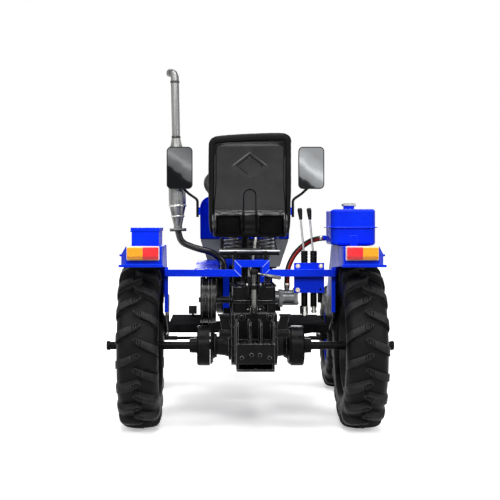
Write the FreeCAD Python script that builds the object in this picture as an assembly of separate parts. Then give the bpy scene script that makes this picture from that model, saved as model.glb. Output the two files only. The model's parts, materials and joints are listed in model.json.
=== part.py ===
"""Compact belt-driven farm tractor, built from separate jointed pieces, in millimetres.

X points to the driver's right, Y forward and Z up. The pieces are drawn with Y measured ahead of the rear
axle. The export moves them so that the origin lies on the ground below the middle of the whole tractor.
"""
import FreeCAD, Part
import math
import os
from FreeCAD import Vector as V

os.makedirs("parts", exist_ok=True)

# Driving dimensions
WHEELBASE = 1320.0
REAR_TRACK = 984.0
FRONT_TRACK = 1050.0
HITCH_REACH = 400.0            # hitch face behind the rear axle
BUMPER_REACH = 430.0           # bumper face ahead of the front axle
REAR_TYRE_D = 740.0
REAR_TYRE_W = 186.0
REAR_RIM_D = 406.0
FRONT_TYRE_D = REAR_TYRE_D - 160.0
FRONT_TYRE_W = 140.0
FRONT_RIM_D = 305.0
REAR_AXLE_SPAN = 1296.0        # over the ends of the rear axle shafts

# Running fits and gaps
FIT = 0.05                     # radial play of a shaft in its bore
GAP = 6.0                      # between a turning piece and its neighbour
PLAY = 2.0                     # along a pin, between its cheeks

# Heights that follow the rear wheels
REAR_Z = REAR_TYRE_D / 2
FRONT_Z = FRONT_TYRE_D / 2
RAIL_BOTTOM = REAR_Z + 25.0
RAIL_H = 65.0
RAIL_TOP = RAIL_BOTTOM + RAIL_H
RAIL_OUT = 114.0
RAIL_W = 34.0
RAIL_WALL = 6.0
DECK_Z = REAR_Z + 70.0         # top of the footboards
BAR_Z = REAR_Z + 326.0         # centre of the rear crossbar
FENDER_Z = REAR_Z + 452.0      # top of the fenders
SHAFT_Z = REAR_Z + 200.0       # clutch shaft and crankshaft

# Places along the tractor, ahead of the rear axle
HOOP_Y = WHEELBASE - 420.0     # hoop that carries the steering gear and the dash
CRANK_Y = WHEELBASE - 150.0
PULLEY_Y = 100.0               # clutch shaft on the gearbox
NOSE_Y = WHEELBASE + 350.0     # front face of the nose
REAR_FACE = -HITCH_REACH
FRONT_FACE = WHEELBASE + BUMPER_REACH
CENTRE_Y = (REAR_FACE + FRONT_FACE) / 2

# Gearbox and rear axle
CASE_X = 12.0                  # the gear case sits a little to the right
CASE_HALF = 100.0
CASE_REAR = -188.0
CASE_FRONT = 190.0
CASE_BOTTOM = REAR_Z - 70.0
CASE_TOP = REAR_Z + 155.0
TOP_CASE_H = 115.0
SHAFT_R = 18.0
DRUM_R = 90.0
DRUM_IN = CASE_HALF + 82.0
DRUM_W = 58.0
DRUM_WALL = 8.0
HOUSING_R = 50.0

# Fenders
FENDER_SKIN = 3.0
TYRE_GAP = 10.0
FENDER_IN = REAR_TRACK / 2 - REAR_TYRE_W / 2 - TYRE_GAP
FENDER_OUT = REAR_TRACK / 2 + 78.0
FENDER_REAR = -300.0
FENDER_KNEE = 190.0            # where the top turns down to the footboard
FENDER_FRONT = 440.0
BAR_SIZE = 32.0
HOOP_SIZE = 32.0
BAR_Y = 30.0
ARCH_RISE = 43.0
ARCH_HALF = 80.0

# Steering
KINGPIN_X = FRONT_TRACK / 2 - 85.0
KINGPIN_R = 14.0
ARM_TIE = 120.0
ARM_DRAG = 85.0
STUB_R = 16.0
BEAM_Z = FRONT_Z + 53.0
BEAM_H = 50.0
WHEEL_CENTRE = V(0, HOOP_Y - 280.0, REAR_Z + 756.0)
STEER_BOX = V(0, HOOP_Y - 50.0, REAR_Z + 365.0)
STEER_WHEEL_R = 215.0
DROP_SHAFT_Y = HOOP_Y - 45.0
DROP_SHAFT_R = 13.0

X_AXIS = V(1, 0, 0)
Y_AXIS = V(0, 1, 0)
Z_AXIS = V(0, 0, 1)


# Shape helpers

def box(x0, x1, y0, y1, z0, z1):
    """Block between two corners."""
    return Part.makeBox(x1 - x0, y1 - y0, z1 - z0, V(x0, y0, z0))


def rod(start, end, radius):
    """Round bar between two points."""
    return Part.makeCylinder(radius, (end - start).Length, start, end - start)


def pipe(start, end, radius, bore):
    """Round tube between two points."""
    return rod(start, end, radius).cut(rod(start, end, bore))


def cone(start, end, radius, end_radius):
    """Tapered round bar between two points."""
    return Part.makeCone(radius, end_radius, (end - start).Length, start, end - start)


def plate(points, depth):
    """Flat plate: a closed outline pushed along a vector."""
    return Part.Face(Part.makePolygon(list(points) + [points[0]])).extrude(depth)


def side_plate(outline, x0, x1):
    """Plate across the tractor from an outline of (y, z) points."""
    return plate([V(x0, y, z) for y, z in outline], V(x1 - x0, 0, 0))


def turned(profile, centre, axis=X_AXIS):
    """Solid of revolution from (along, radius) points about an axis through centre."""
    across = Z_AXIS if abs(axis.z) < 0.9 else X_AXIS
    across = (across - axis * across.dot(axis)).normalize()
    points = [centre + axis * along + across * radius for along, radius in profile]
    return Part.Face(Part.makePolygon(points + [points[0]])).revolve(centre, axis, 360)


def joined(shapes):
    """One solid from pieces that touch or overlap."""
    shapes = list(shapes)
    return shapes[0].multiFuse(shapes[1:]).removeSplitter() if len(shapes) > 1 else shapes[0]


def mirrored(shape):
    """The same piece on the other side of the tractor."""
    return shape.mirror(V(0, 0, 0), X_AXIS)


def both(shape):
    """A right-hand piece and its mirror image, as two solids."""
    return Part.makeCompound([mirrored(shape), shape])


def unit(vector):
    """A copy of the vector, one millimetre long."""
    return V(vector).normalize()


def rounded_path(points, radius=None):
    """Wire of straight runs joined by tangent arcs, each as large as its runs allow or of one radius."""
    edges = []
    here = points[0]
    for before, corner, after in zip(points, points[1:], points[2:]):
        back = unit(before - corner)
        onward = unit(after - corner)
        half_turn = (math.pi - back.getAngle(onward)) / 2
        room = 0.45 * min((before - corner).Length, (after - corner).Length)
        bend = radius or room / math.tan(half_turn)
        reach = bend * math.tan(half_turn)
        start = corner + back * reach
        end = corner + onward * reach
        middle = corner + unit(back + onward) * (bend / math.cos(half_turn) - bend)
        edges.append(Part.LineSegment(here, start).toShape())
        edges.append(Part.Arc(start, middle, end).toShape())
        here = end
    edges.append(Part.LineSegment(here, points[-1]).toShape())
    return Part.Wire(edges)


def bent_bar(points, radius, bend=None, bore=None):
    """Round bar or tube bent along a route."""
    path = rounded_path(points, bend)
    heading = points[1] - points[0]
    bar = path.makePipeShell([Part.Wire([Part.makeCircle(radius, points[0], heading)])], True, True)
    if bore:
        hollow = path.makePipeShell([Part.Wire([Part.makeCircle(bore, points[0], heading)])], True, True)
        bar = bar.cut(hollow)
    return bar


def bent_strip(route, bend, x0, x1, thickness):
    """Sheet across the tractor along a (y, z) route, with its thickness on the left of the route."""
    points = [V(x0, y, z) for y, z in route]
    heading = unit(points[1] - points[0])
    rise = V(0, -heading.z, heading.y)
    corners = [points[0], points[0] + V(x1 - x0, 0, 0)]
    corners += [corners[1] + rise * thickness, points[0] + rise * thickness]
    return rounded_path(points, bend).makePipeShell([Part.makePolygon(corners + [corners[0]])], True, False)


def rounded_outline(half, low, high, corner, place, centre=0.0):
    """Closed wire of a rectangle with round corners, its two sides placed in space by a function."""
    k = corner * (1 - math.sqrt(0.5))
    left = centre - half
    right = centre + half
    p = [place(*q) for q in [
        (left + corner, low), (right - corner, low), (right - k, low + k), (right, low + corner),
        (right, high - corner), (right - k, high - k), (right - corner, high),
        (left + corner, high), (left + k, high - k), (left, high - corner),
        (left, low + corner), (left + k, low + k)]]
    edges = [Part.LineSegment(p[0], p[1]), Part.Arc(p[1], p[2], p[3]), Part.LineSegment(p[3], p[4]),
             Part.Arc(p[4], p[5], p[6]), Part.LineSegment(p[6], p[7]), Part.Arc(p[7], p[8], p[9]),
             Part.LineSegment(p[9], p[10]), Part.Arc(p[10], p[11], p[0])]
    return Part.Wire([edge.toShape() for edge in edges])


def rounded_plate(half, low, high, corner, y0, y1, centre=0.0):
    """Plate facing the rear with round corners."""
    outline = rounded_outline(half, low, high, corner, lambda x, z: V(x, y0, z), centre)
    return Part.Face(outline).extrude(V(0, y1 - y0, 0))


def filleted(shape, radius, chosen):
    """Round the edges that a test picks."""
    return shape.makeFillet(radius, [edge for edge in shape.Edges if chosen(edge)])


def along(axis):
    """Test for straight edges that run along an axis."""
    def check(edge):
        if len(edge.Vertexes) != 2:
            return False
        return abs(unit(edge.Vertexes[1].Point - edge.Vertexes[0].Point).dot(axis)) > 0.999
    return check


def circle_of(count, radius, start=0.0):
    """Offsets of evenly spaced points on a circle in the YZ plane."""
    for i in range(count):
        angle = math.radians(start + 360.0 * i / count)
        yield V(0, radius * math.cos(angle), radius * math.sin(angle))


# Wheels

def tyre(centre, radius, width, rim_radius):
    """Open-bellied tyre casing with bulged walls and a crowned tread band."""
    wall = 11.0
    bead = 0.34 * width
    height = radius - rim_radius
    outer = [(bead, rim_radius), (bead, rim_radius + 14), (0.42 * width, rim_radius + 0.24 * height),
             (0.5 * width, rim_radius + 0.46 * height), (0.485 * width, rim_radius + 0.75 * height),
             (0.45 * width, radius - 0.09 * height), (0.38 * width, radius - 0.02 * height)]
    inner = [(bead - wall, rim_radius), (0.5 * width - wall, rim_radius + 0.46 * height),
             (0.42 * width - wall, radius - 0.2 * height)]
    right = outer + [(0.18 * width, radius)]
    left = [(-x, r) for x, r in reversed(right)]
    hollow = [(-x, r) for x, r in inner] + list(reversed(inner))
    return turned(right + left + hollow, centre)


def rim(centre, seat_radius, half_width, side, dish, well, hub_radius, bolt_circle, bore_radius):
    """Steel wheel: rolled barrel with a drop centre, and a dished disc with hand holes and wheel bolts."""
    skin = 4.0
    flange = 13.0
    outside = [(-half_width, seat_radius + flange), (-half_width + skin, seat_radius + flange),
               (-half_width + skin, seat_radius), (-0.45 * half_width, seat_radius),
               (-0.3 * half_width, seat_radius - well), (0.3 * half_width, seat_radius - well),
               (0.45 * half_width, seat_radius), (half_width - skin, seat_radius),
               (half_width - skin, seat_radius + flange), (half_width, seat_radius + flange)]
    inside = [(half_width, seat_radius - skin), (0.45 * half_width + skin, seat_radius - skin),
              (0.3 * half_width + skin, seat_radius - well - skin),
              (-0.3 * half_width - skin, seat_radius - well - skin),
              (-0.45 * half_width - skin, seat_radius - skin), (-half_width, seat_radius - skin)]
    barrel = turned(outside + inside, centre)
    rest = seat_radius - well - skin
    face = 0.2 * half_width
    disc = turned([(side * face, rest + 1), (side * (face + 5), rest + 1),
                   (side * (face + 5), rest - 14), (side * (dish + 6), hub_radius + 22),
                   (side * (dish + 6), bore_radius), (side * dish, bore_radius),
                   (side * dish, hub_radius + 24), (side * face, rest - 18)], centre)
    span = 3 * half_width
    holes = []
    middle = (hub_radius + rest) / 2 + 6
    for spot in circle_of(6, middle):
        start = centre + spot - V(span / 2, 0, 0)
        holes.append(rod(start, start + V(span, 0, 0), 0.17 * rest))
    disc = disc.cut(Part.makeCompound(holes))
    bolts = []
    for spot in circle_of(5, bolt_circle, 18.0):
        start = centre + spot + V(side * (dish + 5), 0, 0)
        bolts.append(rod(start, start + V(side * 13, 0, 0), 9.0))
    return joined([barrel, disc] + bolts)


def rear_wheel_parts(side):
    """Tyre, wheel and half shaft with its brake drum, for one rear corner."""
    centre = V(side * REAR_TRACK / 2, 0, REAR_Z)
    seat = REAR_RIM_D / 2
    half = 0.34 * REAR_TYRE_W + 4.0
    dish = 24.0
    wheel = rim(centre, seat, half, side, dish, 20.0, 62.0, 48.0, 33.0)
    hub_end = REAR_TRACK / 2 + dish
    hub = [(DRUM_IN, DRUM_R - DRUM_WALL), (DRUM_IN, DRUM_R), (DRUM_IN + DRUM_W - 6, DRUM_R),
           (DRUM_IN + DRUM_W, DRUM_R - 6), (DRUM_IN + DRUM_W, 34), (DRUM_IN + DRUM_W + 34, 32),
           (DRUM_IN + DRUM_W + 34, SHAFT_R), (hub_end - 70, SHAFT_R), (hub_end - 66, 32),
           (hub_end - 10, 32), (hub_end - 10, 62), (hub_end, 62), (hub_end, 32.9), (hub_end + 30, 30),
           (hub_end + 30, SHAFT_R), (REAR_AXLE_SPAN / 2 - 14, SHAFT_R), (REAR_AXLE_SPAN / 2 - 14, 22),
           (REAR_AXLE_SPAN / 2, 20), (REAR_AXLE_SPAN / 2, 0), (DRUM_IN - 60, 0), (DRUM_IN - 60, SHAFT_R),
           (DRUM_IN + DRUM_W - DRUM_WALL, SHAFT_R), (DRUM_IN + DRUM_W - DRUM_WALL, DRUM_R - DRUM_WALL)]
    shaft = turned([(side * x, r) for x, r in hub], V(0, 0, REAR_Z))
    return tyre(centre, REAR_TYRE_D / 2, REAR_TYRE_W, seat), wheel, shaft


def front_wheel_parts(side):
    """Tyre and wheel with its hub for one front corner."""
    centre = V(side * FRONT_TRACK / 2, WHEELBASE, FRONT_Z)
    seat = FRONT_RIM_D / 2
    half = 0.34 * FRONT_TYRE_W + 4.0
    dish = 10.0
    wheel = rim(centre, seat, half, side, dish, 16.0, 50.0, 40.0, 27.0)
    inner = -(FRONT_TRACK / 2 - KINGPIN_X - 46.0)
    hub = turned([(side * inner, STUB_R + FIT), (side * inner, 30), (side * (dish - 8), 30),
                  (side * (dish - 8), 50), (side * dish, 50), (side * dish, 26.9), (side * (dish + 34), 24),
                  (side * (dish + 42), 18), (side * (dish + 42), 0), (side * (dish + 36), 0),
                  (side * (dish + 36), STUB_R + FIT)], centre)
    return tyre(centre, FRONT_TYRE_D / 2, FRONT_TYRE_W, seat), joined([wheel, hub])


# Front axle and steering

def front_axle():
    """Beam between the kingpin sleeves, with its centre pivot and the cheeks that carry it."""
    z0 = BEAM_Z - BEAM_H / 2
    sleeve_r = 25.0
    beam = box(-KINGPIN_X, KINGPIN_X, WHEELBASE - 25, WHEELBASE + 25, z0, z0 + BEAM_H)
    beam = filleted(beam, 8.0, along(X_AXIS))
    pieces = [beam]
    for side in (-1, 1):
        foot = V(side * KINGPIN_X, WHEELBASE, z0)
        pieces.append(rod(foot, foot + V(0, 0, BEAM_H + 22), sleeve_r))
        gusset = [V(side * 150, WHEELBASE - 5, z0 + BEAM_H - 1), V(side * 60, WHEELBASE - 5,
                                                                   z0 + BEAM_H + 18),
                  V(0, WHEELBASE - 5, z0 + BEAM_H + 18), V(0, WHEELBASE - 5, z0 + BEAM_H - 1)]
        pieces.append(plate(gusset, V(0, 10, 0)))
    pivot = V(0, WHEELBASE - 62, BEAM_Z)
    pieces.append(rod(pivot, pivot + V(0, 124, 0), 15.0))
    axle = joined(pieces)
    for side in (-1, 1):
        foot = V(side * KINGPIN_X, WHEELBASE, z0 - 1)
        axle = axle.cut(rod(foot, foot + V(0, 0, BEAM_H + 30), KINGPIN_R + FIT))
    return axle


def axle_cheeks():
    """Two hanging plates under the rails that hold the axle pivot, one before and one behind the beam."""
    cheeks = []
    for y in (WHEELBASE - 52, WHEELBASE + 40):
        low = BEAM_Z - 34
        outline = [V(-60, y, RAIL_BOTTOM), V(-36, y, low), V(36, y, low), V(60, y, RAIL_BOTTOM)]
        cheek = plate(outline, V(0, 12, 0))
        bore = rod(V(0, y - 1, BEAM_Z), V(0, y + 13, BEAM_Z), 15.0 + FIT)
        cheeks.append(cheek.cut(bore))
    return cheeks


def knuckle(side):
    """Kingpin with its stub axle and the arm that steers it."""
    x = side * KINGPIN_X
    top = BEAM_Z + BEAM_H / 2 + 22
    block_top = BEAM_Z - BEAM_H / 2 - PLAY
    block = Part.makeCylinder(24.0, block_top - (FRONT_Z - 26), V(x, WHEELBASE, FRONT_Z - 26))
    pin = rod(V(x, WHEELBASE, block_top - 1), V(x, WHEELBASE, top + PLAY), KINGPIN_R)
    cap = cone(V(x, WHEELBASE, top + PLAY), V(x, WHEELBASE, top + PLAY + 11), 22, 17)
    stub = rod(V(x, WHEELBASE, FRONT_Z), V(side * (FRONT_TRACK / 2 + 40), WHEELBASE, FRONT_Z), STUB_R)
    shoulder = rod(V(x, WHEELBASE, FRONT_Z), V(x + side * 40, WHEELBASE, FRONT_Z), 23.0)
    z = block_top - 14
    reach = ARM_TIE + 14
    outline = [V(x - 20, WHEELBASE - 8, z), V(x + 20, WHEELBASE - 8, z), V(x + 13, WHEELBASE - reach, z),
               V(x - 13, WHEELBASE - reach, z)]
    arm = filleted(plate(outline, V(0, 0, 12)), 9.0,
                   lambda e: along(Z_AXIS)(e) and e.BoundBox.YMin < WHEELBASE - reach + 1)
    return joined([block, pin, cap, stub, shoulder, arm])


def ball_end(centre, down):
    """Ball joint housing with its stud, over or under an arm."""
    sign = -1 if down else 1
    stud = rod(centre, centre + V(0, 0, -sign * 15.0), 6.0)
    house = rod(centre - V(0, 0, 11), centre + V(0, 0, 11), 14.0)
    return joined([filleted(house, 3.0, lambda e: e.Curve.TypeId == "Part::GeomCircle"), stud])


ARM_MID = BEAM_Z - BEAM_H / 2 - PLAY - 8.0     # middle of the steering arms
TIE_Z = ARM_MID - 6.0 - 15.5
DRAG_Z = ARM_MID + 6.0 + 15.5
PITMAN_Z = ARM_MID + 20.0
DRAG_REAR_Z = PITMAN_Z - 6.0 - 15.5


def tie_rod():
    """Rod between the two steering arms, with a ball joint at each end."""
    y = WHEELBASE - ARM_TIE
    ends = [V(side * KINGPIN_X, y, TIE_Z) for side in (-1, 1)]
    bar = rod(ends[0], ends[1], 9.0)
    sleeves = [rod(end - V(side * 12, 0, 0), end - V(side * 74, 0, 0), 12.0) for side, end in zip((-1, 1),
                                                                                                  ends)]
    return joined([bar] + sleeves + [ball_end(end, True) for end in ends])


def drag_link():
    """Rod from the drop arm to the right steering arm."""
    rear = V(0, DROP_SHAFT_Y - ARM_DRAG, DRAG_REAR_Z)
    front = V(KINGPIN_X, WHEELBASE - ARM_DRAG, DRAG_Z)
    heading = unit(front - rear)
    sleeves = [rod(rear + heading * 10, rear + heading * 70, 12.0), rod(front - heading * 10,
                                                                        front - heading * 70, 12.0)]
    return joined([rod(rear, front, 9.0)] + sleeves + [ball_end(rear, True), ball_end(front, False)])


def drop_arm():
    """Arm under the steering gear, clamped on its output shaft."""
    z = PITMAN_Z - 6
    centre = V(0, DROP_SHAFT_Y, z)
    outline = [V(-19, DROP_SHAFT_Y, z), V(19, DROP_SHAFT_Y, z), V(13, DROP_SHAFT_Y - ARM_DRAG - 13, z),
               V(-13, DROP_SHAFT_Y - ARM_DRAG - 13, z)]
    arm = filleted(plate(outline, V(0, 0, 12)), 9.0,
                   lambda e: along(Z_AXIS)(e) and e.BoundBox.YMin < DROP_SHAFT_Y - ARM_DRAG)
    boss = Part.makeCylinder(23.0, 26.0, centre)
    shaft = Part.makeCylinder(DROP_SHAFT_R, STEER_BOX.z - 40 - z, centre)
    return joined([arm, boss, shaft])


def steering_column():
    """Bevel box on the hoop, the jacket of the steering shaft, and the guide of the drop shaft."""
    axis = unit(WHEEL_CENTRE - STEER_BOX)
    case = box(-40, 40, STEER_BOX.y - 42, HOOP_Y - HOOP_SIZE / 2, STEER_BOX.z - 55, STEER_BOX.z + 8)
    case = filleted(case, 10.0, along(Z_AXIS))
    neck = cone(STEER_BOX - axis * 6, STEER_BOX + axis * 62, 34, 21)
    jacket = rod(STEER_BOX, WHEEL_CENTRE - axis * 62, 19.0)
    collar = rod(WHEEL_CENTRE - axis * 92, WHEEL_CENTRE - axis * 62, 24.0)
    low = RAIL_BOTTOM + 6
    guide = Part.makeCylinder(24.0, STEER_BOX.z - 50 - low, V(0, DROP_SHAFT_Y, low))
    web = RAIL_OUT - RAIL_WALL
    foot = box(-web, web, DROP_SHAFT_Y - 30, DROP_SHAFT_Y + 30, low, low + 12)
    column = joined([case, neck, jacket, collar, guide, foot])
    bore = Part.makeCylinder(DROP_SHAFT_R + FIT, STEER_BOX.z - 40 + 0.3 - low + 1, V(0, DROP_SHAFT_Y,
                                                                                     low - 1))
    spindle = rod(WHEEL_CENTRE - axis * 93, WHEEL_CENTRE - axis * 61, 10.0 + FIT)
    return column.cut(bore).cut(spindle)


def steering_wheel():
    """Rim on three flat spokes, with a hub and a stub of its shaft."""
    axis = unit(WHEEL_CENTRE - STEER_BOX)
    rim_ring = Part.makeTorus(STEER_WHEEL_R - 13, 13.0)
    hub = Part.makeCylinder(34.0, 34.0, V(0, 0, -34))
    cap = Part.makeCone(34.0, 22.0, 10.0)
    shaft = Part.makeCylinder(10.0, 60.0, V(0, 0, -92))
    pieces = [rim_ring, hub, cap, shaft]
    for turn in (90, 210, 330):
        spoke = Part.makeBox(STEER_WHEEL_R - 38, 30.0, 5.0, V(24, -15, -18))
        rise = Part.makeCylinder(5.5, 24, V(STEER_WHEEL_R - 20, 0, -18), V(0.35, 0, 1))
        for piece in (spoke, rise):
            piece.rotate(V(0, 0, 0), Z_AXIS, turn)
            pieces.append(piece)
    wheel = joined(pieces)
    wheel.Placement = FreeCAD.Placement(WHEEL_CENTRE, FreeCAD.Rotation(Z_AXIS, axis))
    return wheel


# Frame, gearbox and hitch

def frame_rails():
    """Two channel rails with their cross members, the axle cheeks, the footboard outriggers and the stays."""
    rear = CASE_FRONT + 8
    front = FRONT_FACE - 60
    pieces = []
    for side in (-1, 1):
        web = RAIL_OUT - RAIL_WALL
        outline = [(web, RAIL_BOTTOM), (RAIL_OUT, RAIL_BOTTOM), (RAIL_OUT, RAIL_TOP), (RAIL_OUT - RAIL_W,
                                                                                       RAIL_TOP),
                   (RAIL_OUT - RAIL_W, RAIL_TOP - RAIL_WALL), (web, RAIL_TOP - RAIL_WALL),
                   (web, RAIL_BOTTOM + RAIL_WALL), (RAIL_OUT - RAIL_W, RAIL_BOTTOM + RAIL_WALL),
                   (RAIL_OUT - RAIL_W, RAIL_BOTTOM)]
        points = [V(side * x, rear - 1, z) for x, z in outline]
        pieces.append(plate(points, V(0, front - rear + 2, 0)))
    pieces.append(box(-RAIL_OUT - 6, RAIL_OUT + 6, CASE_FRONT, rear, RAIL_BOTTOM - 10, CASE_TOP))
    pieces.append(box(-RAIL_OUT - 30, RAIL_OUT + 30, front, front + 8, RAIL_BOTTOM - 6, RAIL_TOP + 20))
    for y in (WHEELBASE - 52, WHEELBASE + 40):
        pieces.append(box(-RAIL_OUT, RAIL_OUT, y, y + 12, RAIL_BOTTOM - 1, RAIL_BOTTOM + RAIL_WALL))
    pieces += axle_cheeks()
    outer = FENDER_IN - FENDER_SKIN
    for side in (-1, 1):
        for y in (DECK_REAR + 40, HOOP_Y - 60):
            pieces.append(box(*sorted((side * (RAIL_OUT - 1), side * (outer - 6))), y, y + 30,
                              RAIL_BOTTOM + 1, DECK_Z - DECK_EDGE))
        stay = [(BAR_Y + 30, PANEL_LOW + 45), (BAR_Y + 30, PANEL_LOW - 30), (DECK_REAR + 30, DECK_Z - 40),
                (DECK_REAR + 90, DECK_Z - 40), (DECK_REAR + 130, PANEL_LOW + 45)]
        pieces.append(side_plate(stay, side * outer, side * (outer - 6)))
    return joined(pieces)


DECK_REAR = 300.0              # rear edge of the footboards
DECK_SKIN = 4.0
DECK_EDGE = 32.0               # depth of the footboards' turned-down edges
PANEL_LOW = REAR_Z + 162.0     # lower edge of the fenders' inner panels


def footboard():
    """Right footboard: chequer plate with turned-down edges and two slots at its outer rear corner."""
    inner = 190.0
    outer = FENDER_IN - FENDER_SKIN - 6
    top = [V(inner, DECK_REAR, DECK_Z), V(outer - 60, DECK_REAR, DECK_Z), V(outer, DECK_REAR - 60, DECK_Z),
           V(outer, HOOP_Y, DECK_Z), V(inner, HOOP_Y, DECK_Z)]
    sheet = Part.Face(Part.makePolygon(top + [top[0]]))
    hollow = sheet.makeOffset2D(-DECK_SKIN).translated(V(0, 0, -DECK_SKIN))
    board = sheet.extrude(V(0, 0, -DECK_EDGE)).cut(hollow.extrude(V(0, 0, -DECK_EDGE)))
    for i in range(2):
        y = DECK_REAR + 4 + 24 * i
        board = board.cut(box(outer - 46, outer - 14, y, y + 12, DECK_Z - 9, DECK_Z + 1))
    return board


def gearbox_case():
    """Cast gear case with its upper shift case, joint bands, side bosses, ribs and shift tower."""
    left = CASE_X - CASE_HALF
    right = CASE_X + CASE_HALF
    lower = [(CASE_REAR, CASE_BOTTOM + 14), (CASE_REAR, CASE_TOP), (CASE_FRONT, CASE_TOP),
             (CASE_FRONT, CASE_BOTTOM + 130), (130, CASE_BOTTOM + 45), (80, CASE_BOTTOM), (-150, CASE_BOTTOM)]
    case = filleted(side_plate(lower, left + 8, right - 8), 12.0, along(X_AXIS))
    band = side_plate(lower, left, left + 14).fuse(side_plate(lower, right - 14, right))
    top_z = CASE_TOP + TOP_CASE_H
    upper = box(left + 8, right - 4, -120, 180, CASE_TOP - 1, top_z)
    upper = filleted(upper, 14.0, lambda e: along(Z_AXIS)(e))
    lip = box(left + 2, right + 2, -128, CASE_FRONT, CASE_TOP + 44, CASE_TOP + 56)
    lip = filleted(lip, 10.0, along(Z_AXIS))
    pieces = [case, band, upper, lip]
    for x in (CASE_X - 55, CASE_X + 60):
        pieces.append(Part.makeCylinder(17.0, 16.0, V(x, -92, top_z - 2)))
        pieces.append(Part.makeCylinder(17.0, 16.0, V(x, 60, top_z - 2)))
    pieces.append(cone(V(LEVER_FOOT.x, LEVER_FOOT.y, top_z - 1), V(LEVER_FOOT.x, LEVER_FOOT.y, top_z + 34),
                       30, 17))
    boss_z = REAR_Z + 68
    for side, flank in ((-1, left), (1, right)):
        start = V(flank - side * 4, -150, boss_z)
        pieces.append(rod(start, start + V(side * 58, 0, 0), 17.0))
        web = [V(flank - side * 2, -156, boss_z + 10), V(flank + side * 16, -156, boss_z + 84),
               V(flank + side * 56, -156, boss_z + 84), V(flank + side * 40, -156, boss_z + 10)]
        pieces.append(plate(web, V(0, 14, 0)))
        cap = box(*sorted((flank + side * 10, flank + side * 60)), -168, -132, boss_z + 78, boss_z + 86)
        pieces.append(cap)
    seat = rod(V(left + 12, PULLEY_Y, SHAFT_Z), V(left - 4, PULLEY_Y, SHAFT_Z), 34.0)
    window = box(CASE_X + 4, CASE_X + 62, -121, -70, CASE_TOP + 2, CASE_TOP + 38)
    stub = rod(V(CASE_X + 33, -60, CASE_TOP + 20), V(CASE_X + 33, -122, CASE_TOP + 20), 13.0)
    body = pieces[0].multiFuse(pieces[1:] + [seat]).cut(window)
    return body.fuse(stub)


LEVER_FOOT = V(0, 150, 0)
PULLEY_X0 = -226.0
PULLEY_X1 = -154.0


def axle_housing(side):
    """Stepped half-shaft housing with its brake backing plate, bored for the shaft."""
    flank = CASE_X + side * CASE_HALF
    start = abs(flank)
    end = DRUM_IN - GAP
    profile = [(start, 0), (start, HOUSING_R + 14), (start + 10, HOUSING_R + 14), (start + 10, HOUSING_R),
               (end - 16, HOUSING_R - 6), (end - 16, HOUSING_R + 8), (end, HOUSING_R + 4), (end, 0)]
    if side < 0:
        profile = [(start, 0), (start, HOUSING_R + 14), (start + 10, HOUSING_R + 14), (start + 10, HOUSING_R),
                   (start + 34, HOUSING_R - 6), (end - 16, HOUSING_R - 10), (end - 16, HOUSING_R + 8),
                   (end, HOUSING_R + 4), (end, 0)]
    body = turned([(side * x, r) for x, r in profile], V(0, 0, REAR_Z))
    inner = DRUM_IN - 60
    bore = rod(V(side * (inner - 1), 0, REAR_Z), V(side * (end + 1), 0, REAR_Z), SHAFT_R + FIT)
    return body.cut(bore)


HITCH_X = 10.0
HITCH_HALF = 80.0
PIN_R = 9.0
PIN_Y = REAR_FACE + 45.0
HITCH_LOW = REAR_Z - 69.0
SLOT_LOW = HITCH_LOW + 8.0
SLOT_HIGH = SLOT_LOW + 24.0
LEDGE_Z = REAR_Z + 47.0


def hitch_box():
    """Drawbar box: bolted back plate, four ribs over a ledge, a face plate and the drawbar slot below it."""
    left = HITCH_X - HITCH_HALF
    right = HITCH_X + HITCH_HALF
    back = CASE_REAR - 12
    back_top = REAR_Z + 158
    face = REAR_FACE + 6
    shell = [
        rounded_plate(HITCH_HALF + 5, HITCH_LOW, back_top, 14.0, back, CASE_REAR, HITCH_X),
        box(left, right, face, back + 1, LEDGE_Z - 12, LEDGE_Z),
        box(left, right, face, face + 10, SLOT_HIGH, LEDGE_Z),
        box(left, right, face, back + 1, SLOT_HIGH, SLOT_HIGH + 8),
        rounded_floor(left, right, face, back + 1, HITCH_LOW, SLOT_LOW),
        box(left, left + 9, face + 10, back + 1, HITCH_LOW, LEDGE_Z),
        box(right - 9, right, face + 10, back + 1, HITCH_LOW, LEDGE_Z)]
    for x in (-77.0, -23.5, 23.0, 77.0):
        centre = HITCH_X + x * (HITCH_HALF - 4) / 77
        rib = [(face + 2, LEDGE_Z - 1), (face + 2, LEDGE_Z + 76), (face + 14, LEDGE_Z + 88),
               (back + 1, LEDGE_Z + 88), (back + 1, LEDGE_Z - 1)]
        shell.append(side_plate(rib, centre - 4, centre + 4))
    for x in (-30, 30):
        lug = [(CASE_REAR - 56, back_top + 6), (CASE_REAR - 56, back_top + 36), (CASE_REAR, back_top + 36),
               (CASE_REAR, back_top - 20), (back, back_top - 20), (back, back_top - 2)]
        shell.append(side_plate(lug, HITCH_X - 2 + x * 0.3 - 6, HITCH_X - 2 + x * 0.3 + 6))
    body = joined(shell)
    for x in (-48, 0, 48):
        foot = V(HITCH_X + x, PIN_Y, HITCH_LOW - 1)
        length = SLOT_HIGH - HITCH_LOW + 10 if x == 0 else 0.0
        body = body.cut(Part.makeCylinder(PIN_R, 16, V(HITCH_X + x, PIN_Y, LEDGE_Z - 14)))
        if length:
            body = body.cut(Part.makeCylinder(PIN_R, length, foot))
    for x, z in ((-58, 30.0), (58, 30.0), (-17, 42.0), (17, 42.0)):
        spot = V(HITCH_X + x, REAR_FACE, SLOT_HIGH + z - 4)
        body = body.fuse(rod(spot, spot + V(0, 8, 0), 8.0))
    cross = V(HITCH_X - 24, CASE_REAR - 44, back_top + 21)
    return body.cut(rod(cross, cross + V(46, 0, 0), 5.0 + FIT)).removeSplitter()


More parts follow.
